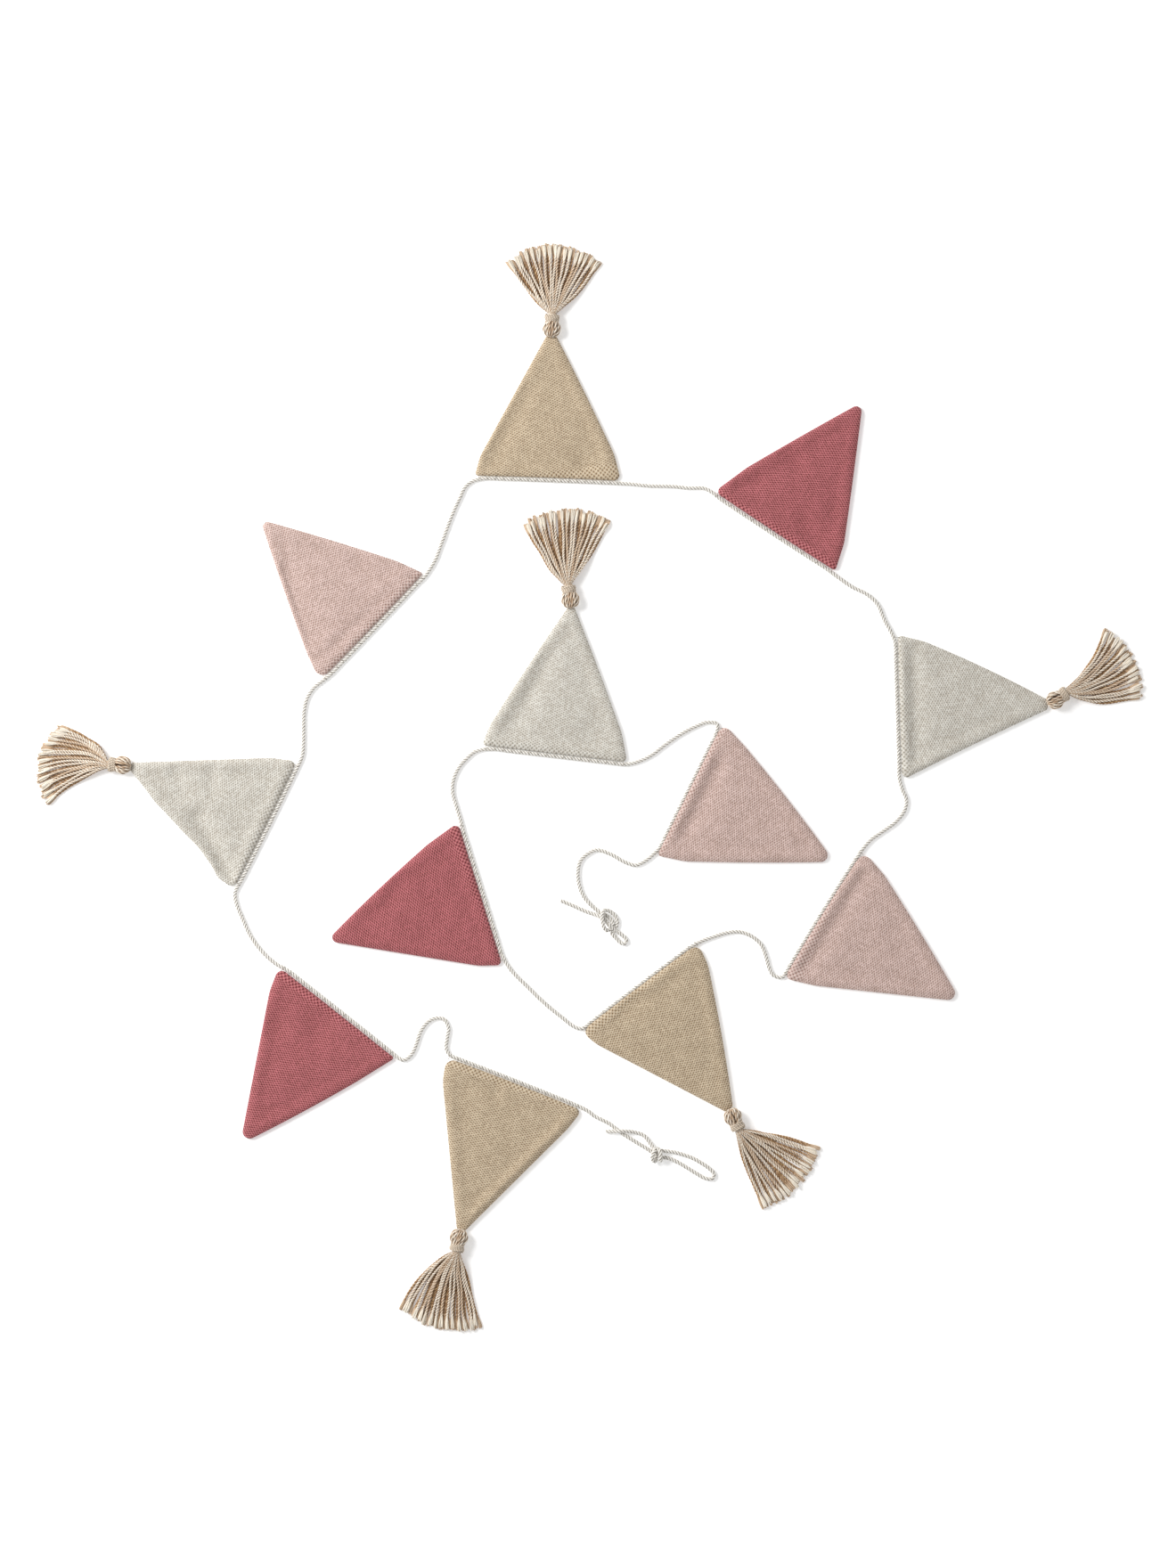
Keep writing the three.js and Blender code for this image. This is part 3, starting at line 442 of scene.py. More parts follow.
class Graph:
    """Short calls that add nodes to a tree and join them."""

    def __init__(self, tree):
        self.tree = tree

    def feed(self, socket, value):
        if isinstance(value, bpy.types.NodeSocket):
            self.tree.links.new(value, socket)
        else:
            socket.default_value = value

    def add(self, kind, inputs=None, **settings):
        node = self.tree.nodes.new(kind)
        for name, value in settings.items():
            setattr(node, name, value)
        for key, value in (inputs or {}).items():
            self.feed(node.inputs[key], value)
        return node

    def math(self, operation, *values):
        node = self.add("ShaderNodeMath", operation=operation)
        for socket, value in zip(node.inputs, values):
            self.feed(socket, value)
        return node.outputs[0]

    def vector(self, operation, *values):
        node = self.add("ShaderNodeVectorMath", operation=operation)
        for socket, value in zip(node.inputs, values):
            self.feed(socket, value)
        return node.outputs[0]

    def scaled(self, vector, amount):
        node = self.add("ShaderNodeVectorMath", {"Scale": amount}, operation="SCALE")
        self.feed(node.inputs[0], vector)
        return node.outputs[0]

    def ramp(self, value, low, high, to_low=0.0, to_high=1.0):
        names = {"Value": value, "From Min": low, "From Max": high, "To Min": to_low, "To Max": to_high}
        return self.add("ShaderNodeMapRange", names, interpolation_type="SMOOTHSTEP").outputs[0]

    def mix(self, share, a, b):
        node = self.add("ShaderNodeMix", data_type="RGBA")
        self.feed(node.inputs[0], share)
        self.feed(node.inputs[6], a)
        self.feed(node.inputs[7], b)
        return node.outputs[2]


def socket(tree, name, kind, default=None, out=False):
    made = tree.interface.new_socket(name, in_out="OUTPUT" if out else "INPUT", socket_type=kind)
    if default is not None:
        made.default_value = default
    return made


def rgba(colour):
    return (*colour, 1.0)


def darker(colour, shares):
    return tuple(c * s for c, s in zip(colour, shares))


# Shader groups.


def knit_group():
    """Stockinette: slanting legs in columns, with painted shade in the pits in a half-drop and painted
    highlight on the knots between.
    """
    tree = bpy.data.node_groups.get("knit") or bpy.data.node_groups.new("knit", "ShaderNodeTree")
    if tree.nodes:
        return tree
    socket(tree, "Cloth", "NodeSocketVector")
    socket(tree, "Column", "NodeSocketFloat", 0.002)
    socket(tree, "Course", "NodeSocketFloat", 0.0023)
    socket(tree, "Slant", "NodeSocketFloat", 1.5)
    socket(tree, "Band", "NodeSocketFloat", 0.0050)
    for name in ("Height", "Pit", "Knot", "Tone"):
        socket(tree, name, "NodeSocketFloat", out=True)
    g = Graph(tree)
    given = g.add("NodeGroupInput").outputs
    wander = g.add("ShaderNodeTexNoise", {"Vector": given["Cloth"], "Scale": 110.0, "Detail": 2.0})
    away = g.vector("SUBTRACT", wander.outputs["Color"], (0.5, 0.5, 0.5))
    cloth = g.vector("ADD", given["Cloth"], g.scaled(away, 0.0016))
    u, v, _ = g.add("ShaderNodeSeparateXYZ", {"Vector": cloth}).outputs
    column = g.math("DIVIDE", u, given["Column"])
    cell = g.math("FLOOR", column)
    side = g.math("SUBTRACT", g.math("SUBTRACT", column, cell), 0.5)
    hand = g.math("SUBTRACT", 1.0, g.math("MULTIPLY", g.math("FLOORED_MODULO", cell, 2.0), 2.0))
    inside = g.math("MAXIMUM", v, given["Band"])
    band = g.math("MULTIPLY", g.math("MINIMUM", v, given["Band"]), 0.55)
    rows = g.math("DIVIDE", g.math("ADD", inside, band), given["Course"])
    slant = g.math("MULTIPLY", g.math("MULTIPLY", side, hand), given["Slant"])
    stage = g.math("SUBTRACT", g.math("FRACT", g.math("ADD", rows, slant)), 0.5)
    across = g.math("MAXIMUM", g.math("COSINE", g.math("MULTIPLY", side, math.pi)), 0.0)
    along = g.math("MAXIMUM", g.math("COSINE", g.math("MULTIPLY", stage, math.pi)), 0.0)
    leg = g.math("MULTIPLY", g.math("POWER", across, 0.5), g.math("POWER", along, 0.6))
    turn = g.math("MULTIPLY", rows, 2 * math.pi)
    drop = g.math("MULTIPLY", g.math("COSINE", g.math("MULTIPLY", column, math.pi)), g.math("SINE", turn))
    # Masks for the painted shade in the pits and the painted highlight on the knots.
    pit_shade = g.ramp(drop, 0.0, -0.95)
    knot = g.ramp(drop, 0.0, 0.95)
    uneven = g.add("ShaderNodeTexNoise", {"Vector": given["Cloth"], "Scale": 330.0, "Detail": 3.0})
    swell = g.add("ShaderNodeTexNoise", {"Vector": given["Cloth"], "Scale": 75.0, "Detail": 2.0})
    fuzz = g.add("ShaderNodeTexNoise", {"Vector": given["Cloth"], "Scale": 3200.0, "Detail": 2.0})
    tone = g.math("ADD", g.math("MULTIPLY", uneven.outputs["Fac"], 0.72),
                  g.math("MULTIPLY", swell.outputs["Fac"], 0.28))
    height = g.math("ADD", g.math("MULTIPLY", leg, 0.55), g.math("MULTIPLY", drop, 0.40))
    height = g.math("ADD", height, g.math("MULTIPLY", fuzz.outputs["Fac"], 0.20))
    height = g.math("ADD", height, g.math("MULTIPLY", uneven.outputs["Fac"], 0.50))
    height = g.math("ADD", height, g.math("MULTIPLY", swell.outputs["Fac"], 2.2))
    results = {"Height": height, "Pit": pit_shade, "Knot": knot, "Tone": g.ramp(tone, 0.34, 0.66)}
    g.add("NodeGroupOutput", results)
    return tree


def fibre_group():
    """Fine fibres that run along a ply, read from the attributes that the yarn tree stores."""
    tree = bpy.data.node_groups.get("fibre") or bpy.data.node_groups.new("fibre", "ShaderNodeTree")
    if tree.nodes:
        return tree
    socket(tree, "Fineness", "NodeSocketFloat", 3.0)
    socket(tree, "Stretch", "NodeSocketFloat", 260.0)
    for name in ("Height", "Streak", "Ply", "Tip", "Groove", "Deep", "Start"):
        socket(tree, name, "NodeSocketFloat", out=True)
    g = Graph(tree)
    given = g.add("NodeGroupInput").outputs
    rim = g.add("ShaderNodeAttribute", attribute_name="rim").outputs["Vector"]
    stored = ("along", "ply", "tip", "outer", "deep", "start")
    along, ply, tip, outer, deep, start = (
        g.add("ShaderNodeAttribute", attribute_name=name).outputs["Fac"] for name in stored)
    around = g.scaled(rim, given["Fineness"])
    down = g.math("MULTIPLY", along, given["Stretch"])
    place = g.add("ShaderNodeCombineXYZ", {"Z": g.math("ADD", down, g.math("MULTIPLY", ply, 17.0))})
    spot = g.vector("ADD", around, place.outputs[0])
    fibres = g.add("ShaderNodeTexNoise", {"Vector": spot, "Scale": 1.0, "Detail": 3.0})
    results = {
        "Height": fibres.outputs["Fac"],
        "Streak": g.ramp(fibres.outputs["Fac"], 0.35, 0.65),
        "Ply": ply,
        "Tip": tip,
        # Groove Shade marks where a ply faces in towards the yarn's middle, for painted shade between the
        # plies.
        "Groove": g.ramp(outer, 0.80, 0.05),
        "Deep": deep,
        "Start": start,
    }
    g.add("NodeGroupOutput", results)
    return tree


# Materials.


def new_material(name, roughness, sheen, specular=0.25):
    material = bpy.data.materials.new("dressed_" + name)
    material.use_nodes = True
    shader = material.node_tree.nodes["Principled BSDF"]
    shader.inputs["Roughness"].default_value = roughness
    shader.inputs["Sheen Weight"].default_value = sheen
    shader.inputs["Sheen Roughness"].default_value = 0.5
    shader.inputs["Specular IOR Level"].default_value = specular
    return material, Graph(material.node_tree), shader


def bump(g, shader, height, distance):
    names = {"Height": height, "Distance": distance}
    g.feed(shader.inputs["Normal"], g.add("ShaderNodeBump", names).outputs["Normal"])


def knit_material(name, colour, knot_highlight, pit_shade_share):
    """Cotton knit in one colour, patterned on the cloth's own coordinates, with painted highlight on the
    stitches' knots and painted shade in the pits between them.
    """
    sizes = bpy.context.scene.bunting_sizes
    material, g, shader = new_material(name, 0.95, 0.12)
    cloth = g.add("ShaderNodeUVMap", uv_map="cloth").outputs["UV"]
    names = {"Cloth": cloth, "Column": sizes.knit_column, "Course": sizes.knit_course}
    knit = g.add("ShaderNodeGroup", node_tree=knit_group())
    for key, value in names.items():
        g.feed(knit.inputs[key], value)
    dull = rgba(darker(colour, (0.74, 0.70, 0.66)))
    body = g.mix(knit.outputs["Tone"], dull, rgba(darker(colour, (1.06,) * 3)))
    # Painted highlight on the knots, then painted shade in the pits between the stitches.
    bright = g.mix(g.math("MULTIPLY", knit.outputs["Knot"], 0.46), body, rgba(knot_highlight))
    shade = g.mix(g.math("MULTIPLY", knit.outputs["Pit"], 0.85), bright, rgba(darker(colour, pit_shade_share)))
    g.feed(shader.inputs["Base Color"], shade)
    bump(g, shader, knit.outputs["Height"], 0.0006)
    return material


def cotton_material():
    """Off-white cotton of the cord, with fine fibres along each ply and painted shade in the grooves between
    the plies.
    """
    colours = bpy.context.scene.bunting_colours
    material, g, shader = new_material("cotton_cord", 0.85, 0.10)
    fibre = g.add("ShaderNodeGroup", node_tree=fibre_group())
    dull = darker(colours.cotton, (0.86, 0.85, 0.83))
    body = g.mix(fibre.outputs["Streak"], rgba(dull), rgba(colours.cotton))
    # Painted shade in the grooves between the cord's plies.
    groove_shade = rgba(darker(colours.cotton, (0.42, 0.39, 0.345)))
    g.feed(shader.inputs["Base Color"], g.mix(fibre.outputs["Groove"], body, groove_shade))
    bump(g, shader, fibre.outputs["Height"], 0.00025)
    return material


def marled_material():
    """Tassel yarn: cream strands and a few tan ones over lower ones painted darker brown as shade, with gold
    glints and painted shade between the plies, frayed pale.
    """
    colours = bpy.context.scene.bunting_colours
    material, g, shader = new_material("marled_yarn", 0.80, 0.10)
    fibre = g.add("ShaderNodeGroup", node_tree=fibre_group())
    streak = fibre.outputs["Streak"]
    dark = g.mix(streak, rgba(darker(colours.yarn_dark, (0.80, 0.74, 0.68))),
                 rgba(darker(colours.yarn_dark, (1.25, 1.25, 1.25))))
    light = g.mix(streak, rgba(darker(colours.yarn_light, (0.86, 0.80, 0.72))), rgba(colours.yarn_light))
    second = g.ramp(fibre.outputs["Ply"], 0.2, 0.3)
    chance = g.math("FRACT", g.math("MULTIPLY", fibre.outputs["Start"], 7.3))
    tan = g.ramp(chance, 0.66, 0.76)
    over = g.mix(g.math("MULTIPLY", second, 0.18), light, dark)
    over = g.mix(g.math("MULTIPLY", tan, 0.60), over, dark)
    # Lower strands: painted darker brown than their own yarn, as shade under the upper strands.
    low = g.mix(streak, rgba(darker(colours.yarn_dark, (0.34, 0.25, 0.17))),
                rgba(darker(colours.yarn_dark, (0.82, 0.68, 0.54))))
    under = g.mix(g.math("SUBTRACT", 1.0, g.math("MULTIPLY", second, 0.75)), dark, low)
    where = g.add("ShaderNodeTexCoord").outputs["Object"]
    flecks = g.add("ShaderNodeTexNoise", {"Vector": where, "Scale": 900.0, "Detail": 0.0})
    glint = g.ramp(flecks.outputs["Fac"], 0.68, 0.73)
    body = g.mix(fibre.outputs["Deep"], over, g.mix(glint, under, (0.80, 0.58, 0.26, 1.0)))
    # Painted shade in the grooves between the strands' plies.
    groove_shade = rgba(darker(colours.yarn_dark, (0.55, 0.46, 0.37)))
    body = g.mix(g.math("MULTIPLY", fibre.outputs["Groove"], 0.7), body, groove_shade)
    pale = g.ramp(fibre.outputs["Tip"], 0.78, 0.98)
    ends = g.mix(streak, rgba(darker(colours.frayed, (0.80, 0.73, 0.63))), rgba(colours.frayed))
    ends = g.mix(g.math("MULTIPLY", fibre.outputs["Deep"], 0.75), ends, dark)
    g.feed(shader.inputs["Base Color"], g.mix(pale, body, ends))
    g.feed(shader.inputs["Roughness"], g.math("SUBTRACT", 0.85, g.math("MULTIPLY", glint, 0.4)))
    bump(g, shader, fibre.outputs["Height"], 0.00025)
    return material


def binding_material():
    """Cream yarn wound round the tassels' necks, with painted shade in the grooves between its plies."""
    colours = bpy.context.scene.bunting_colours
    material, g, shader = new_material("cream_yarn", 0.85, 0.10)
    fibre = g.add("ShaderNodeGroup", node_tree=fibre_group())
    dull = darker(colours.binding, (0.84, 0.81, 0.76))
    body = g.mix(fibre.outputs["Streak"], rgba(dull), rgba(colours.binding))
    # Painted shade in the grooves between the binding's plies.
    groove_shade = rgba(darker(colours.binding, (0.45, 0.40, 0.34)))
    g.feed(shader.inputs["Base Color"], g.mix(fibre.outputs["Groove"], body, groove_shade))
    bump(g, shader, fibre.outputs["Height"], 0.00020)
    return material


def paper_material():
    """Plain pale paper of the floor."""
    material, g, shader = new_material("pale_paper", 0.9, 0.0, 0.1)
    where = g.add("ShaderNodeTexCoord").outputs["Object"]
    grain = g.add("ShaderNodeTexNoise", {"Vector": where, "Scale": 3.0, "Detail": 1.0})
    tone = g.mix(grain.outputs["Fac"], (0.93, 0.93, 0.93, 1.0), (0.95, 0.95, 0.95, 1.0))
    g.feed(shader.inputs["Base Color"], tone)
    g.feed(shader.inputs["Emission Color"], tone)
    shader.inputs["Emission Strength"].default_value = FLOOR_GLOW
    return material


def material_of(name, build):
    return bpy.data.materials.get("dressed_" + name) or build()


# Geometry node trees.


def kept(g, geometry, name, value, kind="FLOAT"):
    names = {"Geometry": geometry, "Name": name, "Value": value}
    node = g.add("GeometryNodeStoreNamedAttribute", names, data_type=kind, domain="POINT")
    return node.outputs["Geometry"]


def round_section(g, radius, sides):
    ring = g.add("GeometryNodeCurvePrimitiveCircle", {"Radius": radius, "Resolution": sides}, mode="RADIUS")
    place = g.add("GeometryNodeInputPosition").outputs[0]
    unit = g.vector("NORMALIZE", place)
    return kept(g, ring.outputs["Curve"], "rim", unit, "FLOAT_VECTOR")


def swept(g, curve, section, size=None):
    names = {"Curve": curve, "Profile Curve": section, "Fill Caps": True}
    node = g.add("GeometryNodeCurveToMesh", names)
    if size is not None and "Scale" in node.inputs:
        g.feed(node.inputs["Scale"], size)
    return node.outputs["Mesh"]


def finished(g, mesh, material):
    smooth_mesh = g.add("GeometryNodeSetShadeSmooth", {"Geometry": mesh}).outputs["Geometry"]
    real = g.add("GeometryNodeRealizeInstances", {"Geometry": smooth_mesh}).outputs["Geometry"]
    painted = g.add("GeometryNodeSetMaterial", {"Geometry": real, "Material": material})
    g.feed(g.add("NodeGroupOutput").inputs["Mesh"], painted.outputs["Geometry"])


def twisted(g, given, guides):
    """Plies twisted round each guide, thinner over a run at its root and at its tip."""
    count = {"Curve": guides, "Length": given["Step"]}
    even = g.add("GeometryNodeResampleCurve", count, mode="LENGTH").outputs["Curve"]
    place = g.add("GeometryNodeSplineParameter")
    root = g.ramp(place.outputs["Factor"], 0.0, given["Root Run"], given["Root Size"], 1.0)
    back = g.math("SUBTRACT", 1.0, place.outputs["Factor"])
    tip = g.ramp(back, 0.0, given["Tip Run"], given["Tip Size"], 1.0)
    even = kept(g, even, "along", place.outputs["Length"])
    even = kept(g, even, "tip", place.outputs["Factor"])
    even = kept(g, even, "size", g.math("MULTIPLY", root, tip))
    random = g.add("FunctionNodeRandomValue", {"Seed": FUZZ_SEED}, data_type="FLOAT")
    each = g.add("GeometryNodeFieldOnDomain", domain="CURVE", data_type="FLOAT")
    g.feed(each.inputs[0], random.outputs[1])
    even = kept(g, even, "start", each.outputs[0])
    copies = g.add("GeometryNodeDuplicateElements", {"Geometry": even, "Amount": given["Plies"]},
                   domain="SPLINE")
    share = g.math("DIVIDE", copies.outputs["Duplicate Index"], given["Plies"])
    plies = kept(g, copies.outputs["Geometry"], "ply", share)
    along = g.add("GeometryNodeInputNamedAttribute", {"Name": "along"}, data_type="FLOAT")
    size = g.add("GeometryNodeInputNamedAttribute", {"Name": "size"}, data_type="FLOAT")
    start = g.add("GeometryNodeInputNamedAttribute", {"Name": "start"}, data_type="FLOAT").outputs[0]
    spread = g.math("MULTIPLY", g.math("SUBTRACT", start, 0.5), given["Lay Spread"])
    lay = g.math("MULTIPLY", given["Lay"], g.math("ADD", 1.0, spread))
    turns = g.math("ADD", g.math("DIVIDE", along.outputs[0], lay), g.math("ADD", share, start))
    angle = g.math("MULTIPLY", turns, 2 * math.pi)
    normal = g.add("GeometryNodeInputNormal").outputs[0]
    tangent = g.add("GeometryNodeInputTangent").outputs[0]
    other = g.vector("CROSS_PRODUCT", tangent, normal)
    out = g.vector("ADD", g.scaled(normal, g.math("COSINE", angle)), g.scaled(other, g.math("SINE", angle)))
    push = g.scaled(out, g.math("MULTIPLY", size.outputs[0], given["Ply Offset"]))
    plies = kept(g, plies, "outward", out, "FLOAT_VECTOR")
    moved = g.add("GeometryNodeSetPosition", {"Geometry": plies, "Offset": push}).outputs["Geometry"]
    moved = g.add("GeometryNodeSetCurveRadius", {"Curve": moved, "Radius": size.outputs[0]}).outputs["Curve"]
    mesh = swept(g, moved, round_section(g, given["Ply Radius"], given["Sides"]), size.outputs[0])
    outward = g.add("GeometryNodeInputNamedAttribute", {"Name": "outward"}, data_type="FLOAT_VECTOR")
    facing = g.add("ShaderNodeVectorMath", operation="DOT_PRODUCT")
    g.feed(facing.inputs[0], outward.outputs[0])
    g.feed(facing.inputs[1], g.add("GeometryNodeInputNormal").outputs[0])
    return kept(g, mesh, "outer", facing.outputs["Value"])


def frayed(g, given, guides):
    """Loose fibres that fan out from the last stretch of each guide."""
    cut = {"Curve": guides, "Start": given["Fray Start"], "End": 1.0}
    ends = g.add("GeometryNodeTrimCurve", cut, mode="FACTOR").outputs["Curve"]
    even = g.add("GeometryNodeResampleCurve", {"Curve": ends, "Count": 7}, mode="COUNT").outputs["Curve"]
    place = g.add("GeometryNodeSplineParameter")
    even = kept(g, even, "along", place.outputs["Length"])
    even = kept(g, even, "way", place.outputs["Factor"])
    even = kept(g, even, "tip", g.ramp(place.outputs["Factor"], 0.0, 0.7, 0.76, 1.0))
    copies = g.add("GeometryNodeDuplicateElements", {"Geometry": even, "Amount": given["Fibres"]},
                   domain="SPLINE")
    random = g.add("FunctionNodeRandomValue", data_type="FLOAT_VECTOR")
    g.feed(random.inputs[0], (-1.0, -1.0, -1.0))
    g.feed(random.inputs[1], (1.0, 1.0, 1.0))
    g.feed(random.inputs["Seed"], given["Seed"])
    each = g.add("GeometryNodeFieldOnDomain", domain="CURVE", data_type="FLOAT_VECTOR")
    g.feed(each.inputs[0], random.outputs[0])
    rx, ry, rz = g.add("ShaderNodeSeparateXYZ", {"Vector": each.outputs[0]}).outputs
    share = g.ramp(rz, -1.0, 1.0, 0.0, 0.24)
    fibres = kept(g, copies.outputs["Geometry"], "ply", share)
    way = g.add("GeometryNodeInputNamedAttribute", {"Name": "way"}, data_type="FLOAT").outputs[0]
    open_by = g.math("MULTIPLY", g.ramp(way, 0.0, 0.8, 0.35, 1.0), given["Spread"])
    normal = g.add("GeometryNodeInputNormal").outputs[0]
    tangent = g.add("GeometryNodeInputTangent").outputs[0]
    other = g.vector("CROSS_PRODUCT", tangent, normal)
    side = g.vector("ADD", g.scaled(normal, rx), g.scaled(other, ry))
    longer = g.scaled(tangent, g.math("MULTIPLY", g.math("MULTIPLY", rz, way), given["Uneven"]))
    push = g.vector("ADD", g.scaled(side, open_by), longer)
    moved = g.add("GeometryNodeSetPosition", {"Geometry": fibres, "Offset": push}).outputs["Geometry"]
    here = g.add("GeometryNodeInputPosition").outputs[0]
    low = g.add("ShaderNodeCombineXYZ", {"X": -10.0, "Y": -10.0, "Z": given["Fibre Radius"]}).outputs[0]
    lifted = {"Geometry": moved, "Position": g.vector("MAXIMUM", here, low)}
    moved = g.add("GeometryNodeSetPosition", lifted).outputs["Geometry"]
    swell = g.ramp(way, 0.0, 0.35, 0.35, 1.0)
    thin = g.math("MULTIPLY", swell, g.ramp(way, 0.75, 1.0, 1.0, 0.7))
    moved = g.add("GeometryNodeSetCurveRadius", {"Curve": moved, "Radius": thin}).outputs["Curve"]
    mesh = swept(g, moved, round_section(g, given["Fibre Radius"], 5), thin)
    return kept(g, mesh, "outer", 0.6)


def yarn_sockets(tree):
    socket(tree, "Guides", "NodeSocketGeometry")
    socket(tree, "Plies", "NodeSocketInt", 2)
    socket(tree, "Ply Radius", "NodeSocketFloat", 0.001)
    socket(tree, "Ply Offset", "NodeSocketFloat", 0.001)
    socket(tree, "Lay", "NodeSocketFloat", 0.006)
    socket(tree, "Lay Spread", "NodeSocketFloat", 0.0)
    socket(tree, "Deep", "NodeSocketFloat", 0.0)
    socket(tree, "Step", "NodeSocketFloat", 0.001)
    socket(tree, "Sides", "NodeSocketInt", 6)
    socket(tree, "Root Run", "NodeSocketFloat", 0.001)
    socket(tree, "Root Size", "NodeSocketFloat", 1.0)
    socket(tree, "Tip Run", "NodeSocketFloat", 0.001)
    socket(tree, "Tip Size", "NodeSocketFloat", 1.0)
    socket(tree, "Material", "NodeSocketMaterial")
    socket(tree, "Mesh", "NodeSocketGeometry", out=True)


def yarn_tree():
    """Twisted yarn or cord along guide curves."""
    tree = bpy.data.node_groups.get("twisted_yarn")
    if tree:
        return tree
    tree = bpy.data.node_groups.new("twisted_yarn", "GeometryNodeTree")
    yarn_sockets(tree)
    g = Graph(tree)
    given = g.add("NodeGroupInput").outputs
    finished(g, kept(g, twisted(g, given, given["Guides"]), "deep", given["Deep"]), given["Material"])
    return tree


def skirt_tree():
    """A tassel's strands: twisted yarn along guide curves, frayed at the ends."""
    tree = bpy.data.node_groups.get("frayed_strands")
    if tree:
        return tree
    tree = bpy.data.node_groups.new("frayed_strands", "GeometryNodeTree")
    yarn_sockets(tree)
    socket(tree, "Fray Start", "NodeSocketFloat", 0.85)
    socket(tree, "Fibres", "NodeSocketInt", 12)
    socket(tree, "Fibre Radius", "NodeSocketFloat", 0.0003)
    socket(tree, "Spread", "NodeSocketFloat", 0.0015)
    socket(tree, "Uneven", "NodeSocketFloat", 0.002)
    socket(tree, "Seed", "NodeSocketInt", FUZZ_SEED)
    g = Graph(tree)
    given = g.add("NodeGroupInput").outputs
    both = g.add("GeometryNodeJoinGeometry")
    tree.links.new(twisted(g, given, given["Guides"]), both.inputs[0])
    tree.links.new(frayed(g, given, given["Guides"]), both.inputs[0])
    finished(g, kept(g, both.outputs[0], "deep", given["Deep"]), given["Material"])
    return tree


def stitch_tree():
    """Small stitches over a guide curve, at even distances."""
    tree = bpy.data.node_groups.get("catching_stitches")
    if tree:
        return tree
    tree = bpy.data.node_groups.new("catching_stitches", "GeometryNodeTree")
    socket(tree, "Guides", "NodeSocketGeometry")
    socket(tree, "Spacing", "NodeSocketFloat", 0.0075)
    socket(tree, "Thread Radius", "NodeSocketFloat", 0.00025)
    socket(tree, "Reach", "NodeSocketFloat", 0.0026)
    socket(tree, "Material", "NodeSocketMaterial")
    socket(tree, "Mesh", "NodeSocketGeometry", out=True)
    g = Graph(tree)
    given = g.add("NodeGroupInput").outputs
    along = {"Curve": given["Guides"], "Length": given["Spacing"]}
    points = g.add("GeometryNodeCurveToPoints", along, mode="LENGTH")
    turn = g.add("FunctionNodeAlignRotationToVector", {"Vector": points.outputs["Tangent"]}, axis="X",
                 pivot_axis="Z")
    bow = {"Resolution": 9, "Radius": given["Reach"], "Start Angle": 0.0, "Sweep Angle": math.pi}
    arc = g.add("GeometryNodeCurveArc", bow, mode="RADIUS").outputs["Curve"]
    upright = {"Geometry": arc, "Rotation": (math.pi / 2, 0.0, math.pi / 2)}
    arc = g.add("GeometryNodeTransform", upright).outputs["Geometry"]
    thread = swept(g, arc, round_section(g, given["Thread Radius"], 5))
    spots = {"Points": points.outputs["Points"], "Instance": thread, "Rotation": turn.outputs[0]}
    set_in = g.add("GeometryNodeInstanceOnPoints", spots)
    finished(g, set_in.outputs["Instances"], given["Material"])
    return tree


def guide_curves(name, lines):
    """One curve object with a plain spline through each list of points."""
    data = bpy.data.curves.new(name, "CURVE")
    data.dimensions = "3D"
    data.twist_mode = "MINIMUM"
    for line in lines:
        spline = data.splines.new("POLY")
        spline.points.add(len(line) - 1)
        spline.points.foreach_set("co", np.column_stack([line, np.ones(len(line))]).ravel())
    made = bpy.data.objects.new(name, data)
    bpy.context.scene.collection.objects.link(made)
    return made


def grown(name, lines, tree, values):
    """The mesh object that a tree grows on guide curves; the guides are removed."""
    guide = guide_curves(name + "_guides", lines)
    modifier = guide.modifiers.new(tree.name, "NODES")
    modifier.node_group = tree
    for item in tree.interface.items_tree:
        if item.in_out == "INPUT" and item.name in values:
            modifier[item.identifier] = values[item.name]
    deps = bpy.context.evaluated_depsgraph_get()
    mesh = bpy.data.meshes.new_from_object(guide.evaluated_get(deps), depsgraph=deps)
    if not mesh.polygons:
        raise RuntimeError(f"{name} has no faces")
    mesh.name = name
    made = bpy.data.objects.new(name, mesh)
    bpy.context.scene.collection.objects.link(made)
    curve = guide.data
    bpy.data.objects.remove(guide)
    bpy.data.curves.remove(curve)
    return made


def settled(piece, slot, *nodes):
    """The piece rides on the frame and stands for its CAD nodes."""
    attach(piece, "root")
    if nodes:
        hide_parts(*nodes)


# Lines and places.


def between(a, b, start, end, t):
    """A place on the curve from a to b that leaves and arrives with the given slopes."""
    return (2 * (a - b) + start + end) * t ** 3 + (3 * (b - a) - 2 * start - end) * t ** 2 + start * t + a


def smooth(points, step):
    """Close points on a smooth line through the given ones."""
    p = np.array(points, float)
    p = np.vstack([2 * p[0] - p[1], p, 2 * p[-1] - p[-2]])
    out = []
    for a, b, c, d in zip(p, p[1:], p[2:], p[3:]):
        ab, bc, cd = (math.sqrt(np.linalg.norm(q)) for q in (b - a, c - b, d - c))
        start = c - b + bc * ((b - a) / ab - (c - a) / (ab + bc))
        end = c - b + bc * ((d - c) / cd - (d - b) / (bc + cd))
        count = max(1, round(float(np.linalg.norm(c - b)) / step))
        t = (np.arange(count) / count)[:, None]
        out.append(between(b, c, start, end, t))
    out.append(p[-2:-1])
    return np.vstack(out)


def placed(row, points):
    """Points of a pennant's or knot's own frame, in the frame of the part."""
    turn = math.radians(row["turn"])
    u, v = np.array(points, float).T
    x = row["x"] + math.cos(turn) * u - math.sin(turn) * v
    y = row["y"] + math.sin(turn) * u + math.cos(turn) * v
    return np.column_stack([x, y])


def tuck_of(row):
    return TUCK if row["n"] in TUCKED else 0.0


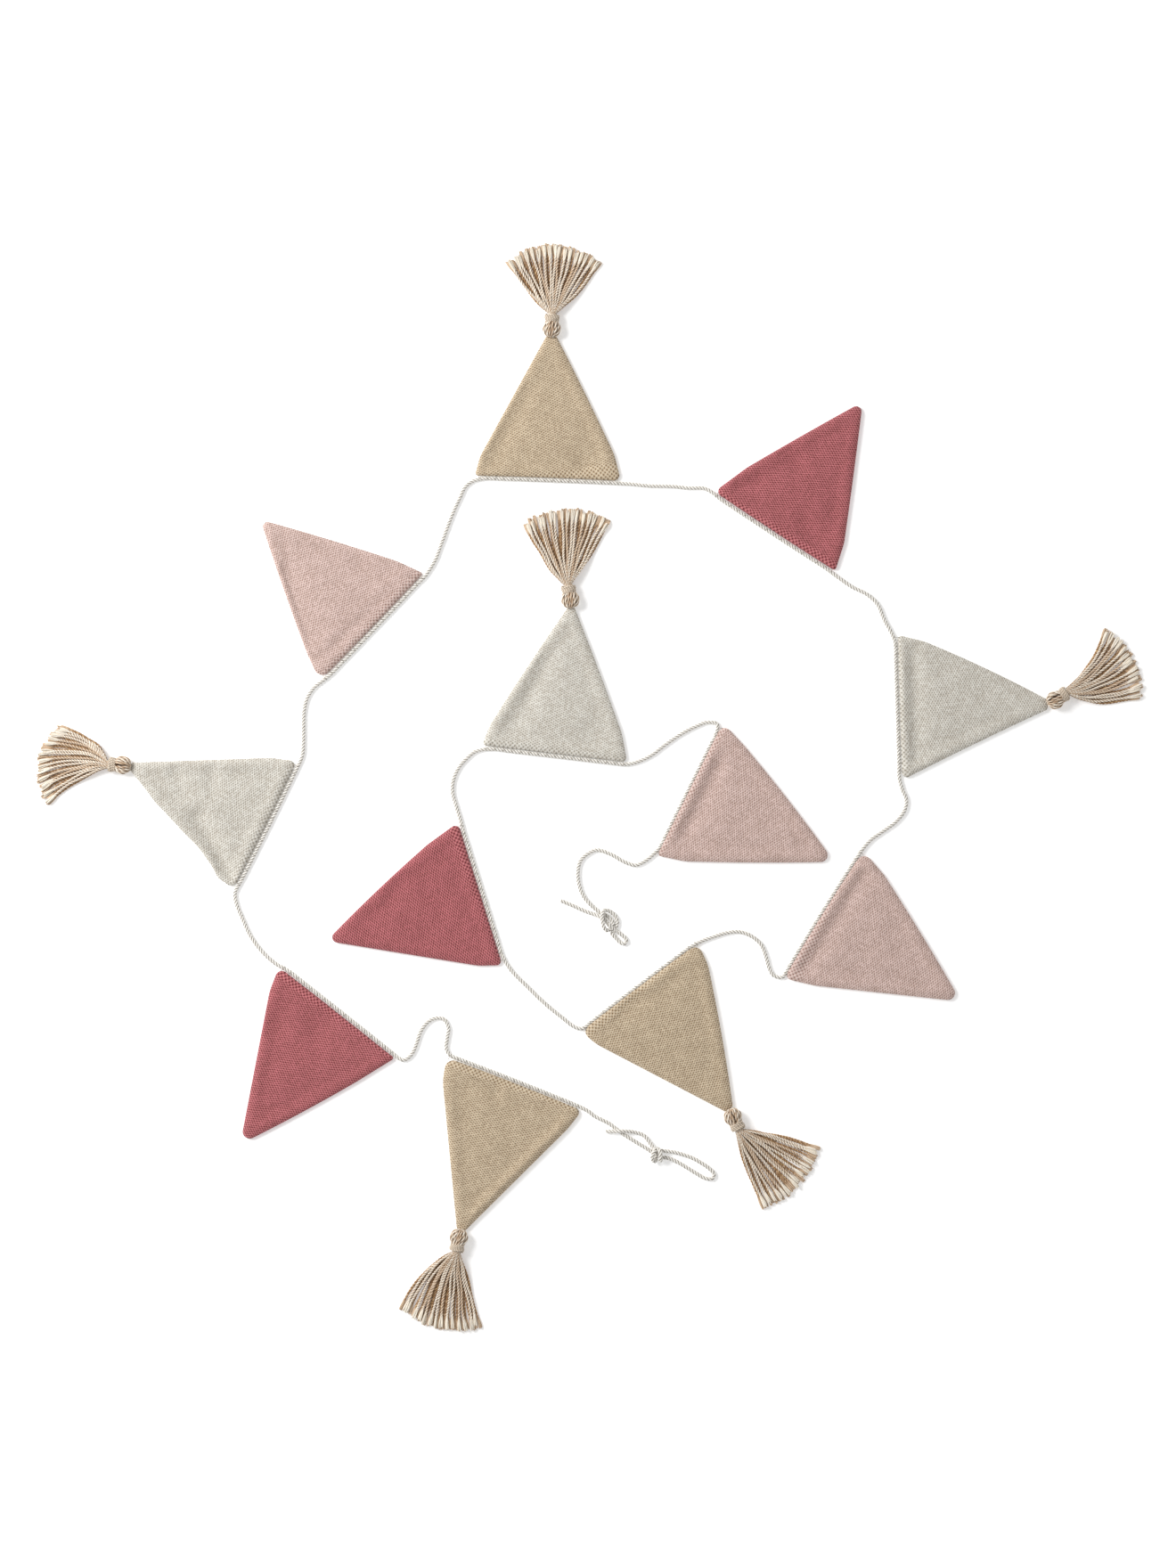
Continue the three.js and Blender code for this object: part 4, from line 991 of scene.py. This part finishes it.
def base_run(row, cord_radius):
    """The cord beside a pennant's top edge, along its bow."""
    t = np.linspace(0.1, 0.9, 9)
    off = cord_radius + GAP - tuck_of(row) + row["bows"][0] * 4 * t * (1 - t)
    places = placed(row, np.column_stack([row["width"] * (t - 0.5), -off]))
    return [[x, y, cord_radius] for x, y in places]


def knot_points(knot, rows):
    """Points along, across and above a knot's axis, in the frame of the part."""
    rows = np.array(rows)
    return np.column_stack([placed(knot, rows[:, :2]), rows[:, 2]]).tolist()


def cord_route(cord_radius):
    """The cord's centre from its outer tail to its inner tail."""
    route = [*OUTER_TAIL, *knot_points(OUTER_KNOT, TAIL_WRAP), *OUTER_LOOP]
    route += knot_points(OUTER_KNOT, LOOP_WRAP)
    for i, link in enumerate(LINKS):
        route += [[x, y, cord_radius] for x, y in link]
        if i < len(PENNANTS):
            route += base_run(PENNANTS[i], cord_radius)
    return smooth([*route, *INNER_KNOT_IN, *INNER_LOOP, *INNER_KNOT_OUT, *INNER_TAIL], ROUTE_STEP)


# Pennants.


def tassel_of(row):
    return next((tassel for tassel in TASSELS if tassel["n"] == row["n"]), None)


def shoulder_of(row, corner, k):
    """Where a side begins to turn in to its nipped corner."""
    away = np.array([row["lean"], row["height"]]) - corner
    return corner + away * (row["run"][k] / np.linalg.norm(away))


def corners_of(row):
    """Corners in the pennant's frame, each with its rounding and the side that starts there."""
    half = row["width"] / 2
    first, second = np.array([-half, 0.0]), np.array([half, 0.0])
    tip = np.array([row["lean"], row["height"]])
    nip = row["nip"]
    corners = [(first + [nip[0], 0.0], row["round"][0], 0), (second - [nip[1], 0.0], row["round"][1], None)]
    if nip[1] > 0:
        corners.append((shoulder_of(row, second, 1), SHOULDER_R, 1))
    else:
        corners[1] = (second, row["round"][1], 1)
    tassel = tassel_of(row)
    if tassel:
        share = tassel["cut"] / row["height"]
        narrow = np.array([share * CUT_TIP_WIDTH, share])
        corners.append((tip + (second - tip) * narrow, CUT_TIP_R, None))
        corners.append((tip + (first - tip) * narrow, CUT_TIP_R, 2))
    else:
        corners.append((tip, row["round"][2], 2))
    if nip[0] > 0:
        corners.append((shoulder_of(row, first, 0), SHOULDER_R, None))
    return corners


def arc_of(before, corner, after):
    middle, radius, _ = corner
    a, b = before[0] - middle, after[0] - middle
    a, b = a / np.linalg.norm(a), b / np.linalg.norm(b)
    half = math.acos(float(a @ b)) / 2
    centre = middle + (a + b) / np.linalg.norm(a + b) * radius / math.sin(half)
    start = middle + a * radius / math.tan(half) - centre
    angles = np.linspace(0, math.pi - 2 * half, CORNER_STEPS)
    turn = np.array([[np.cos(angles), -np.sin(angles)], [np.sin(angles), np.cos(angles)]])
    return centre + np.einsum("ijk,j->ki", turn, start)


def outline_of(row):
    """The outline in the pennant's frame, counter-clockwise, with its bows and edge waves."""
    corners = corners_of(row)
    count = len(corners)
    arcs = [arc_of(corners[i - 1], corners[i], corners[(i + 1) % count]) for i in range(count)]
    outline = []
    for i, arc in enumerate(arcs):
        outline += list(arc)
        side = corners[i][2]
        start, end = arc[-1], arcs[(i + 1) % count][0]
        along = end - start
        reach = float(np.linalg.norm(along))
        outward = np.array([along[1], -along[0]]) / reach
        steps = max(1, round(reach / SIDE_STEP))
        bow = 0.0 if side is None else row["bows"][side]
        waves = [w for w in EDGE_WAVES if w["n"] == row["n"] and w["side"] == side]
        for t in np.arange(1, steps) / steps:
            push = bow * 4 * t * (1 - t)
            for w in waves:
                push += w["out"] * math.exp(-((reach * (1 - t) - w["at"]) / w["reach"]) ** 2)
            outline.append(start + along * t + outward * push)
    return np.array(outline)


def middle_of(row):
    """The point at the same distance from all three sides."""
    a = math.hypot(row["width"] / 2 - row["lean"], row["height"])
    b = math.hypot(row["width"] / 2 + row["lean"], row["height"])
    total = a + b + row["width"]
    u = ((b - a) * row["width"] / 2 + row["width"] * row["lean"]) / total
    return np.array([u, row["width"] * row["height"] / total])


def fold_depth(row, places):
    """How far the soft face sinks below its even crown at each place."""
    depth = np.zeros(len(places))
    for fold in FOLDS:
        if fold["n"] == row["n"]:
            start = np.array([fold["u1"], fold["v1"]])
            along = np.array([fold["u2"], fold["v2"]]) - start
            t = np.clip((places - start) @ along / (along @ along), 0, 1)
            away = np.linalg.norm(places - start - t[:, None] * along, axis=1)
            depth += FOLD_SHARE * fold["depth"] * np.exp(-(away / fold["reach"]) ** 2)
    return depth


def ripple(row, places):
    """Small uneven swells of the padding."""
    return np.array([
        RIPPLE * noise.noise(Vector((u / RIPPLE_SIZE, v / RIPPLE_SIZE, row["n"] * 3.7))) for u, v in places
    ])


def section_points():
    """Inset and height of each ring from the surface up, on a smooth line through EDGE_RINGS."""
    p = np.array([[ring["inset"], ring["z"]] for ring in EDGE_RINGS])
    out = []
    for i, ring in enumerate(EDGE_RINGS[:-1]):
        a, b = p[i], p[i + 1]
        before, after = p[max(i - 1, 0)], p[min(i + 2, len(p) - 1)]
        start, end = (b - before) / 2, (after - a) / 2
        for t in np.arange(ring["finer"]) / ring["finer"]:
            out.append(between(a, b, start, end, t))
    out.append(p[-1])
    return np.array(out)


def pennant_mesh(row):
    """Two knitted layers with a soft edge, flat underneath, with cloth coordinates in metres."""
    outline = outline_of(row)
    middle = middle_of(row)
    count = len(outline)
    ahead = np.roll(outline, -1, axis=0) - np.roll(outline, 1, axis=0)
    outward = np.column_stack([ahead[:, 1], -ahead[:, 0]])
    outward /= np.linalg.norm(outward, axis=1)[:, None]
    section = section_points()
    under = [[inset, 0.0] for inset in UNDERSIDE_INSETS]
    rings = np.vstack([under, section])
    reach = np.concatenate([np.cumsum(np.linalg.norm(np.diff(section[::-1], axis=0), axis=1))[::-1], [0.0]])
    tuck = tuck_of(row)
    points, cloth = [], []
    for k, (inset, z) in enumerate(rings):
        flat = middle + (outline - middle) * (1 - inset / middle[1])
        lie = flat.copy()
        if tuck > 0 and z < TUCK_BELOW:
            lie[:, 1] = np.maximum(lie[:, 1], tuck)
        soft = 0.0
        if k >= len(under) and z > SOFT_ABOVE:
            soft = float(np.clip((inset - SOFT_FROM) / (SOFT_FULL - SOFT_FROM), 0, 1))
        height = np.full(count, z) - soft * (fold_depth(row, flat) - ripple(row, flat))
        points.append(np.column_stack([placed(row, lie), height]))
        extra = 0.0
        if k >= len(under):
            unrolled = reach[k - len(under)] - np.interp(UNROLL_FROM, section[::-1, 0], reach[::-1])
            extra = max(0.0, unrolled - max(0.0, UNROLL_FROM - inset))
        cloth.append(flat + outward * extra)
    centre = placed(row, [middle])[0]
    crown = CROWN_Z - fold_depth(row, middle[None])[0] + ripple(row, middle[None])[0]
    points = np.vstack([*points, [[*centre, 0.0]], [[*centre, crown]]])
    cloth = np.vstack([*cloth, middle[None], middle[None]])
    faces = []
    for r in range(len(rings) - 1):
        for i in range(count):
            j = (i + 1) % count
            faces.append((r * count + i, r * count + j, (r + 1) * count + j, (r + 1) * count + i))
    top = (len(rings) - 1) * count
    low, high = len(points) - 2, len(points) - 1
    for i in range(count):
        j = (i + 1) % count
        faces.append((low, j, i))
        faces.append((high, top + i, top + j))
    grain = math.radians(row["grain"])
    spin = np.array([[math.cos(grain), math.sin(grain)], [-math.sin(grain), math.cos(grain)]])
    return points, faces, (cloth - middle) @ spin.T + middle


def mesh_piece(name, points, faces, cloth, material):
    mesh = bpy.data.meshes.new(name)
    mesh.from_pydata([tuple(p) for p in points], [], faces)
    layer = mesh.uv_layers.new(name="cloth")
    corner = np.zeros(len(mesh.loops), np.int32)
    mesh.loops.foreach_get("vertex_index", corner)
    layer.data.foreach_set("uv", cloth[corner].astype(np.float32).ravel())
    mesh.materials.append(material)
    mesh.shade_smooth()
    mesh.validate()
    made = bpy.data.objects.new(name, mesh)
    bpy.context.scene.collection.objects.link(made)
    return made


# Tassels.


def aim(degrees):
    return np.array([math.cos(math.radians(degrees)), math.sin(math.radians(degrees))])


def seat_of(row, tassel):
    share = 1 - tassel["cut"] / row["height"]
    place = placed(row, [[row["lean"] * share, row["height"] * share]])[0]
    return place + tassel["seat"] * aim(tassel["dir"])


def on_axis(tassel, seat, along, across):
    ahead = aim(tassel["dir"])
    left = np.array([-ahead[1], ahead[0]])
    return seat + ahead * along + left * across


def strand_line(tassel, seat, share, layer, rng, radius):
    """One strand's centre: from inside the neck it bends down to the surface and lies there."""
    side = 2 * share - 1
    angle = tassel["cw"] + (tassel["ccw"] - tassel["cw"]) * share
    trim = tassel["trim"] * (1 - share) ** 2
    reach = tassel["reach"] - trim + rng.uniform(-0.0024, 0.0012) - 0.0008 * layer
    flare = 1 + (tassel["flare"] - 1) * FLARE_SHARE
    begin = aim(tassel["dir"] + angle * flare - tassel["bend"])
    neck = on_axis(tassel, seat, NECK_END, 0.0)
    root = on_axis(tassel, seat, NECK_END + ROOT_OUT, ROOT_SPREAD * side)
    inside = on_axis(tassel, seat, NECK_START + ROOT_IN, ROOT_SPREAD * side)
    bent = root + begin * reach * BEND_SHARE
    tip = neck + aim(tassel["dir"] + angle) * reach
    t = np.linspace(0, 1, STRAND_POINTS)[:, None]
    line = (1 - t) ** 2 * root + 2 * t * (1 - t) * bent + t ** 2 * tip
    along = (tip - root) / np.linalg.norm(tip - root)
    left = np.array([-along[1], along[0]])
    wander = STRAND_WANDER * np.sin(t * rng.uniform(6, 12) + rng.uniform(0, 6.28)) * np.minimum(1, 3 * t)
    line = line + left * wander
    round_off = math.sqrt(max(0.0, 1 - 0.85 * side * side))
    root_z = HEAD_Z + (layer - 0.5) * LAYER_RISE * round_off
    lie_z = radius * (0.9 + 1.5 * layer) + rng.uniform(0, 0.0006)
    fall = np.clip(t[:, 0] / 0.7, 0, 1)
    fall = fall * fall * (3 - 2 * fall)
    z = root_z + (lie_z - root_z) * fall
    return np.vstack([[[*inside, root_z]], np.column_stack([line, z])])


def skirt_lines(row, tassel, radius, pitch, layer):
    seat = seat_of(row, tassel)
    rng = np.random.default_rng(FUZZ_SEED * (layer + 1) + row["n"])
    fan = math.radians(tassel["ccw"] - tassel["cw"]) * tassel["reach"]
    count = round(fan / pitch)
    lines = []
    for i in range(count):
        share = (i + 0.5 * layer) / (count - 1 + layer)
        share = min(max(share + rng.uniform(-0.3, 0.3) / count, 0.3 / count), 1 - 0.3 / count)
        lines.append(strand_line(tassel, seat, share, layer, rng, radius))
    return lines


def head_lines(row, tassel):
    """Yarn ridges over the tassel's head, from its top down into the binding."""
    seat = seat_of(row, tassel)
    rng = np.random.default_rng(FUZZ_SEED * 3 + row["n"])
    section = smooth(HEAD_SECTION, 0.0012)
    lines = []
    for i in range(HEAD_RIDGES):
        turn = 2 * math.pi * (i + rng.uniform(-0.12, 0.12)) / HEAD_RIDGES
        lean = rng.uniform(-0.05, 0.25)
        line = []
        for radius, along in section:
            angle = turn + lean * along / NECK_START
            r = max(radius - RIDGE_SINK, 0.0004)
            x, y = on_axis(tassel, seat, along, r * math.cos(angle))
            line.append([x, y, HEAD_Z + HEAD_FLAT * r * math.sin(angle)])
        lines.append(np.array(line))
    return lines


def binding_line(row, tassel, radius):
    """Yarn wound round the neck, from the head to the strands."""
    seat = seat_of(row, tassel)
    rng = np.random.default_rng(FUZZ_SEED * 5 + row["n"])
    start, end = NECK_START + radius * 0.8, NECK_END - radius * 0.8
    line = []
    steps = BINDING_TURNS * BINDING_STEPS
    for k in range(steps + 1):
        angle = 2 * math.pi * k / BINDING_STEPS + 0.6
        along = start + (end - start) * k / steps + 0.0002 * math.sin(3.1 * angle)
        r = NECK_R - radius * 0.2 + 0.0003 * math.sin(1.7 * angle + rng.uniform(0, 0.2))
        x, y = on_axis(tassel, seat, along, r * math.cos(angle))
        line.append([x, y, HEAD_Z + HEAD_FLAT * r * math.sin(angle)])
    return np.array(line)


# Operators, one for each piece or group of like pieces.


class BUNTING_OT_stage(bpy.types.Operator):
    """Set up the camera, the soft light and the pale floor"""

    bl_idname = "bunting.stage"
    bl_label = "Stage"

    def execute(self, context):
        scene = context.scene
        data = bpy.data.cameras.new("camera")
        data.sensor_width = SENSOR
        data.lens = LENS
        camera = bpy.data.objects.new("camera", data)
        scene.collection.objects.link(camera)
        distance = PHOTO_HEIGHT * PIXEL * LENS / SENSOR
        x = (PHOTO_WIDTH / 2 - ORIGIN_PX[0]) * PIXEL
        y = (ORIGIN_PX[1] - PHOTO_HEIGHT / 2) * PIXEL
        camera.location = (x, y, distance)
        scene.camera = camera

        world = bpy.data.worlds.new("soft_room")
        world.use_nodes = True
        scene.world = world
        sky = world.node_tree.nodes["Background"]
        sky.inputs["Color"].default_value = (1.0, 1.0, 1.0, 1.0)
        sky.inputs["Strength"].default_value = ROOM_LIGHT

        lamp = bpy.data.lights.new("window", "AREA")
        lamp.shape = "DISK"
        lamp.size = LAMP_SIZE
        lamp.energy = LAMP_LIGHT * math.pi * LAMP_AWAY ** 2
        window = bpy.data.objects.new("window", lamp)
        window.rotation_euler = (math.radians(LAMP_TILT), 0, math.radians(LAMP_TURN))
        window.location = Vector(LAMP_SIDE) * LAMP_AWAY
        scene.collection.objects.link(window)

        mesh = bpy.data.meshes.new("floor")
        corners = [(-1, -1), (1, -1), (1, 1), (-1, 1)]
        mesh.from_pydata([(a * FLOOR_HALF, b * FLOOR_HALF, FLOOR_Z) for a, b in corners], [], [(0, 1, 2, 3)])
        mesh.materials.append(paper_material())
        floor = bpy.data.objects.new("floor", mesh)
        scene.collection.objects.link(floor)
        scene.view_settings.view_transform = "Standard"
        return {"FINISHED"}


class BUNTING_OT_cord(bpy.types.Operator):
    """Lay the twisted cotton cord with its knots, loops and tails"""

    bl_idname = "bunting.cord"
    bl_label = "Cord"

    def execute(self, context):
        sizes = context.scene.bunting_sizes
        route = cord_route(sizes.cord_radius)
        offset = sizes.cord_radius * CORD_PLY_OUT
        values = {
            "Plies": sizes.cord_plies,
            "Ply Radius": sizes.cord_radius - offset,
            "Ply Offset": offset,
            "Lay": sizes.cord_lay,
            "Step": 0.0009,
            "Sides": 6,
            "Material": material_of("cotton_cord", cotton_material),
        }
        cord = grown("twisted_cord", [route], yarn_tree(), values)
        settled(cord, "cotton_cord", "cord")
        return {"FINISHED"}


class BUNTING_OT_pennants(bpy.types.Operator):
    """Knit the twelve padded pennants"""

    bl_idname = "bunting.pennants"
    bl_label = "Pennants"

    def execute(self, context):
        colours = context.scene.bunting_colours
        for i, row in enumerate(PENNANTS):
            knit = KNITS[i % len(KNITS)]
            slot = knit["slot"]
            parts = (slot, getattr(colours, slot), knit["knots"], knit["pits"])
            material = material_of(slot, lambda: knit_material(*parts))
            number = f"{row['n']:02d}"
            points, faces, cloth = pennant_mesh(row)
            piece = mesh_piece(f"knitted_pennant_{number}", points, faces, cloth, material)
            settled(piece, slot, f"pennant_{number}")
        return {"FINISHED"}


class BUNTING_OT_tassels(bpy.types.Operator):
    """Make the heads and strands of the six yarn tassels"""

    bl_idname = "bunting.tassels"
    bl_label = "Tassels"

    def execute(self, context):
        sizes = context.scene.bunting_sizes
        offset = sizes.strand_radius * STRAND_PLY_OUT
        yarn = {
            "Plies": 2,
            "Ply Radius": sizes.strand_radius - offset,
            "Ply Offset": offset,
            "Lay": sizes.strand_lay,
            "Sides": 5,
            "Material": material_of("marled_yarn", marled_material),
        }
        layers = [("under", 0, sizes.under_pitch, 1.0), ("over", 1, sizes.strand_pitch, 0.0)]
        for row in PENNANTS:
            tassel = tassel_of(row)
            if tassel:
                number = f"{row['n']:02d}"
                for name, layer, pitch, deep in layers:
                    strands = {
                        **yarn, "Step": 0.0012, "Root Run": 0.45, "Root Size": 0.42, "Tip Run": 0.14,
                        "Tip Size": 0.35, "Fray Start": 1 - sizes.fray_length / tassel["reach"],
                        "Fibres": 12, "Fibre Radius": 0.00062, "Spread": 0.0015, "Uneven": 0.0011,
                        "Seed": FUZZ_SEED + row["n"] + layer, "Deep": deep, "Lay Spread": 0.3,
                    }
                    lines = skirt_lines(row, tassel, sizes.strand_radius, pitch, layer)
                    skirt = grown(f"tassel_{name}_{number}", lines, skirt_tree(), strands)
                    settled(skirt, "marled_yarn", f"tassel_{number}")
                ridges = {
                    **yarn, "Step": 0.0009, "Root Run": 0.3, "Root Size": 0.6, "Lay": 0.013,
                    "Lay Spread": 0.5,
                }
                head = grown(f"tassel_head_{number}", head_lines(row, tassel), yarn_tree(), ridges)
                settled(head, "marled_yarn", f"tassel_{number}")
        return {"FINISHED"}


class BUNTING_OT_bindings(bpy.types.Operator):
    """Wind the cream yarn round the tassels' necks"""

    bl_idname = "bunting.bindings"
    bl_label = "Neck bindings"

    def execute(self, context):
        sizes = context.scene.bunting_sizes
        radius = sizes.binding_radius
        values = {
            "Plies": 2,
            "Ply Radius": radius * (1 - BINDING_PLY_OUT),
            "Ply Offset": radius * BINDING_PLY_OUT,
            "Lay": 0.0042,
            "Step": 0.0009,
            "Sides": 6,
            "Material": material_of("cream_yarn", binding_material),
        }
        for row in PENNANTS:
            tassel = tassel_of(row)
            if tassel:
                number = f"{row['n']:02d}"
                line = binding_line(row, tassel, radius)
                wound = grown(f"wound_binding_{number}", [line], yarn_tree(), values)
                settled(wound, "cream_yarn", f"neck_binding_{number}")
        return {"FINISHED"}


class BUNTING_OT_stitches(bpy.types.Operator):
    """Sew the pennants to the cord with small stitches"""

    bl_idname = "bunting.stitches"
    bl_label = "Catching stitches"

    def execute(self, context):
        sizes = context.scene.bunting_sizes
        lines = []
        for row in PENNANTS:
            t = np.linspace(0.06, 0.94, 12)
            inward = STITCH_IN + row["bows"][0] * 4 * t * (1 - t) - tuck_of(row) * 0.5
            places = placed(row, np.column_stack([row["width"] * (t - 0.5), -inward]))
            lines.append(np.column_stack([places, np.full(len(t), STITCH_Z)]))
        values = {
            "Spacing": sizes.stitch_spacing,
            "Thread Radius": THREAD_R,
            "Reach": THREAD_REACH,
            "Material": material_of("cotton_cord", cotton_material),
        }
        stitches = grown("catching_stitches", lines, stitch_tree(), values)
        settled(stitches, "cotton_cord")
        return {"FINISHED"}


class BUNTING_PT_panel(bpy.types.Panel):
    """Sizes, colours and pieces of the bunting"""

    bl_idname = "BUNTING_PT_panel"
    bl_label = "Pennant bunting"
    bl_space_type = "VIEW_3D"
    bl_region_type = "UI"
    bl_category = "Bunting"

    def draw(self, context):
        for operator in OPERATORS:
            self.layout.operator(operator.bl_idname)
        for group in (context.scene.bunting_sizes, context.scene.bunting_colours):
            for name in group.__annotations__:
                self.layout.prop(group, name)


GROUPS = (BuntingSizes, BuntingColours)
OPERATORS = (
    BUNTING_OT_stage,
    BUNTING_OT_cord,
    BUNTING_OT_pennants,
    BUNTING_OT_tassels,
    BUNTING_OT_bindings,
    BUNTING_OT_stitches,
)


def register():
    for item in (*GROUPS, *OPERATORS, BUNTING_PT_panel):
        bpy.utils.register_class(item)
    bpy.types.Scene.bunting_sizes = PointerProperty(type=BuntingSizes)
    bpy.types.Scene.bunting_colours = PointerProperty(type=BuntingColours)


def unregister():
    del bpy.types.Scene.bunting_colours
    del bpy.types.Scene.bunting_sizes
    for item in reversed((*GROUPS, *OPERATORS, BUNTING_PT_panel)):
        bpy.utils.unregister_class(item)


def main():
    register()
    bpy.ops.bunting.stage()
    bpy.ops.bunting.cord()
    bpy.ops.bunting.pennants()
    bpy.ops.bunting.tassels()
    bpy.ops.bunting.bindings()
    bpy.ops.bunting.stitches()


if __name__ == "__main__":
    main()
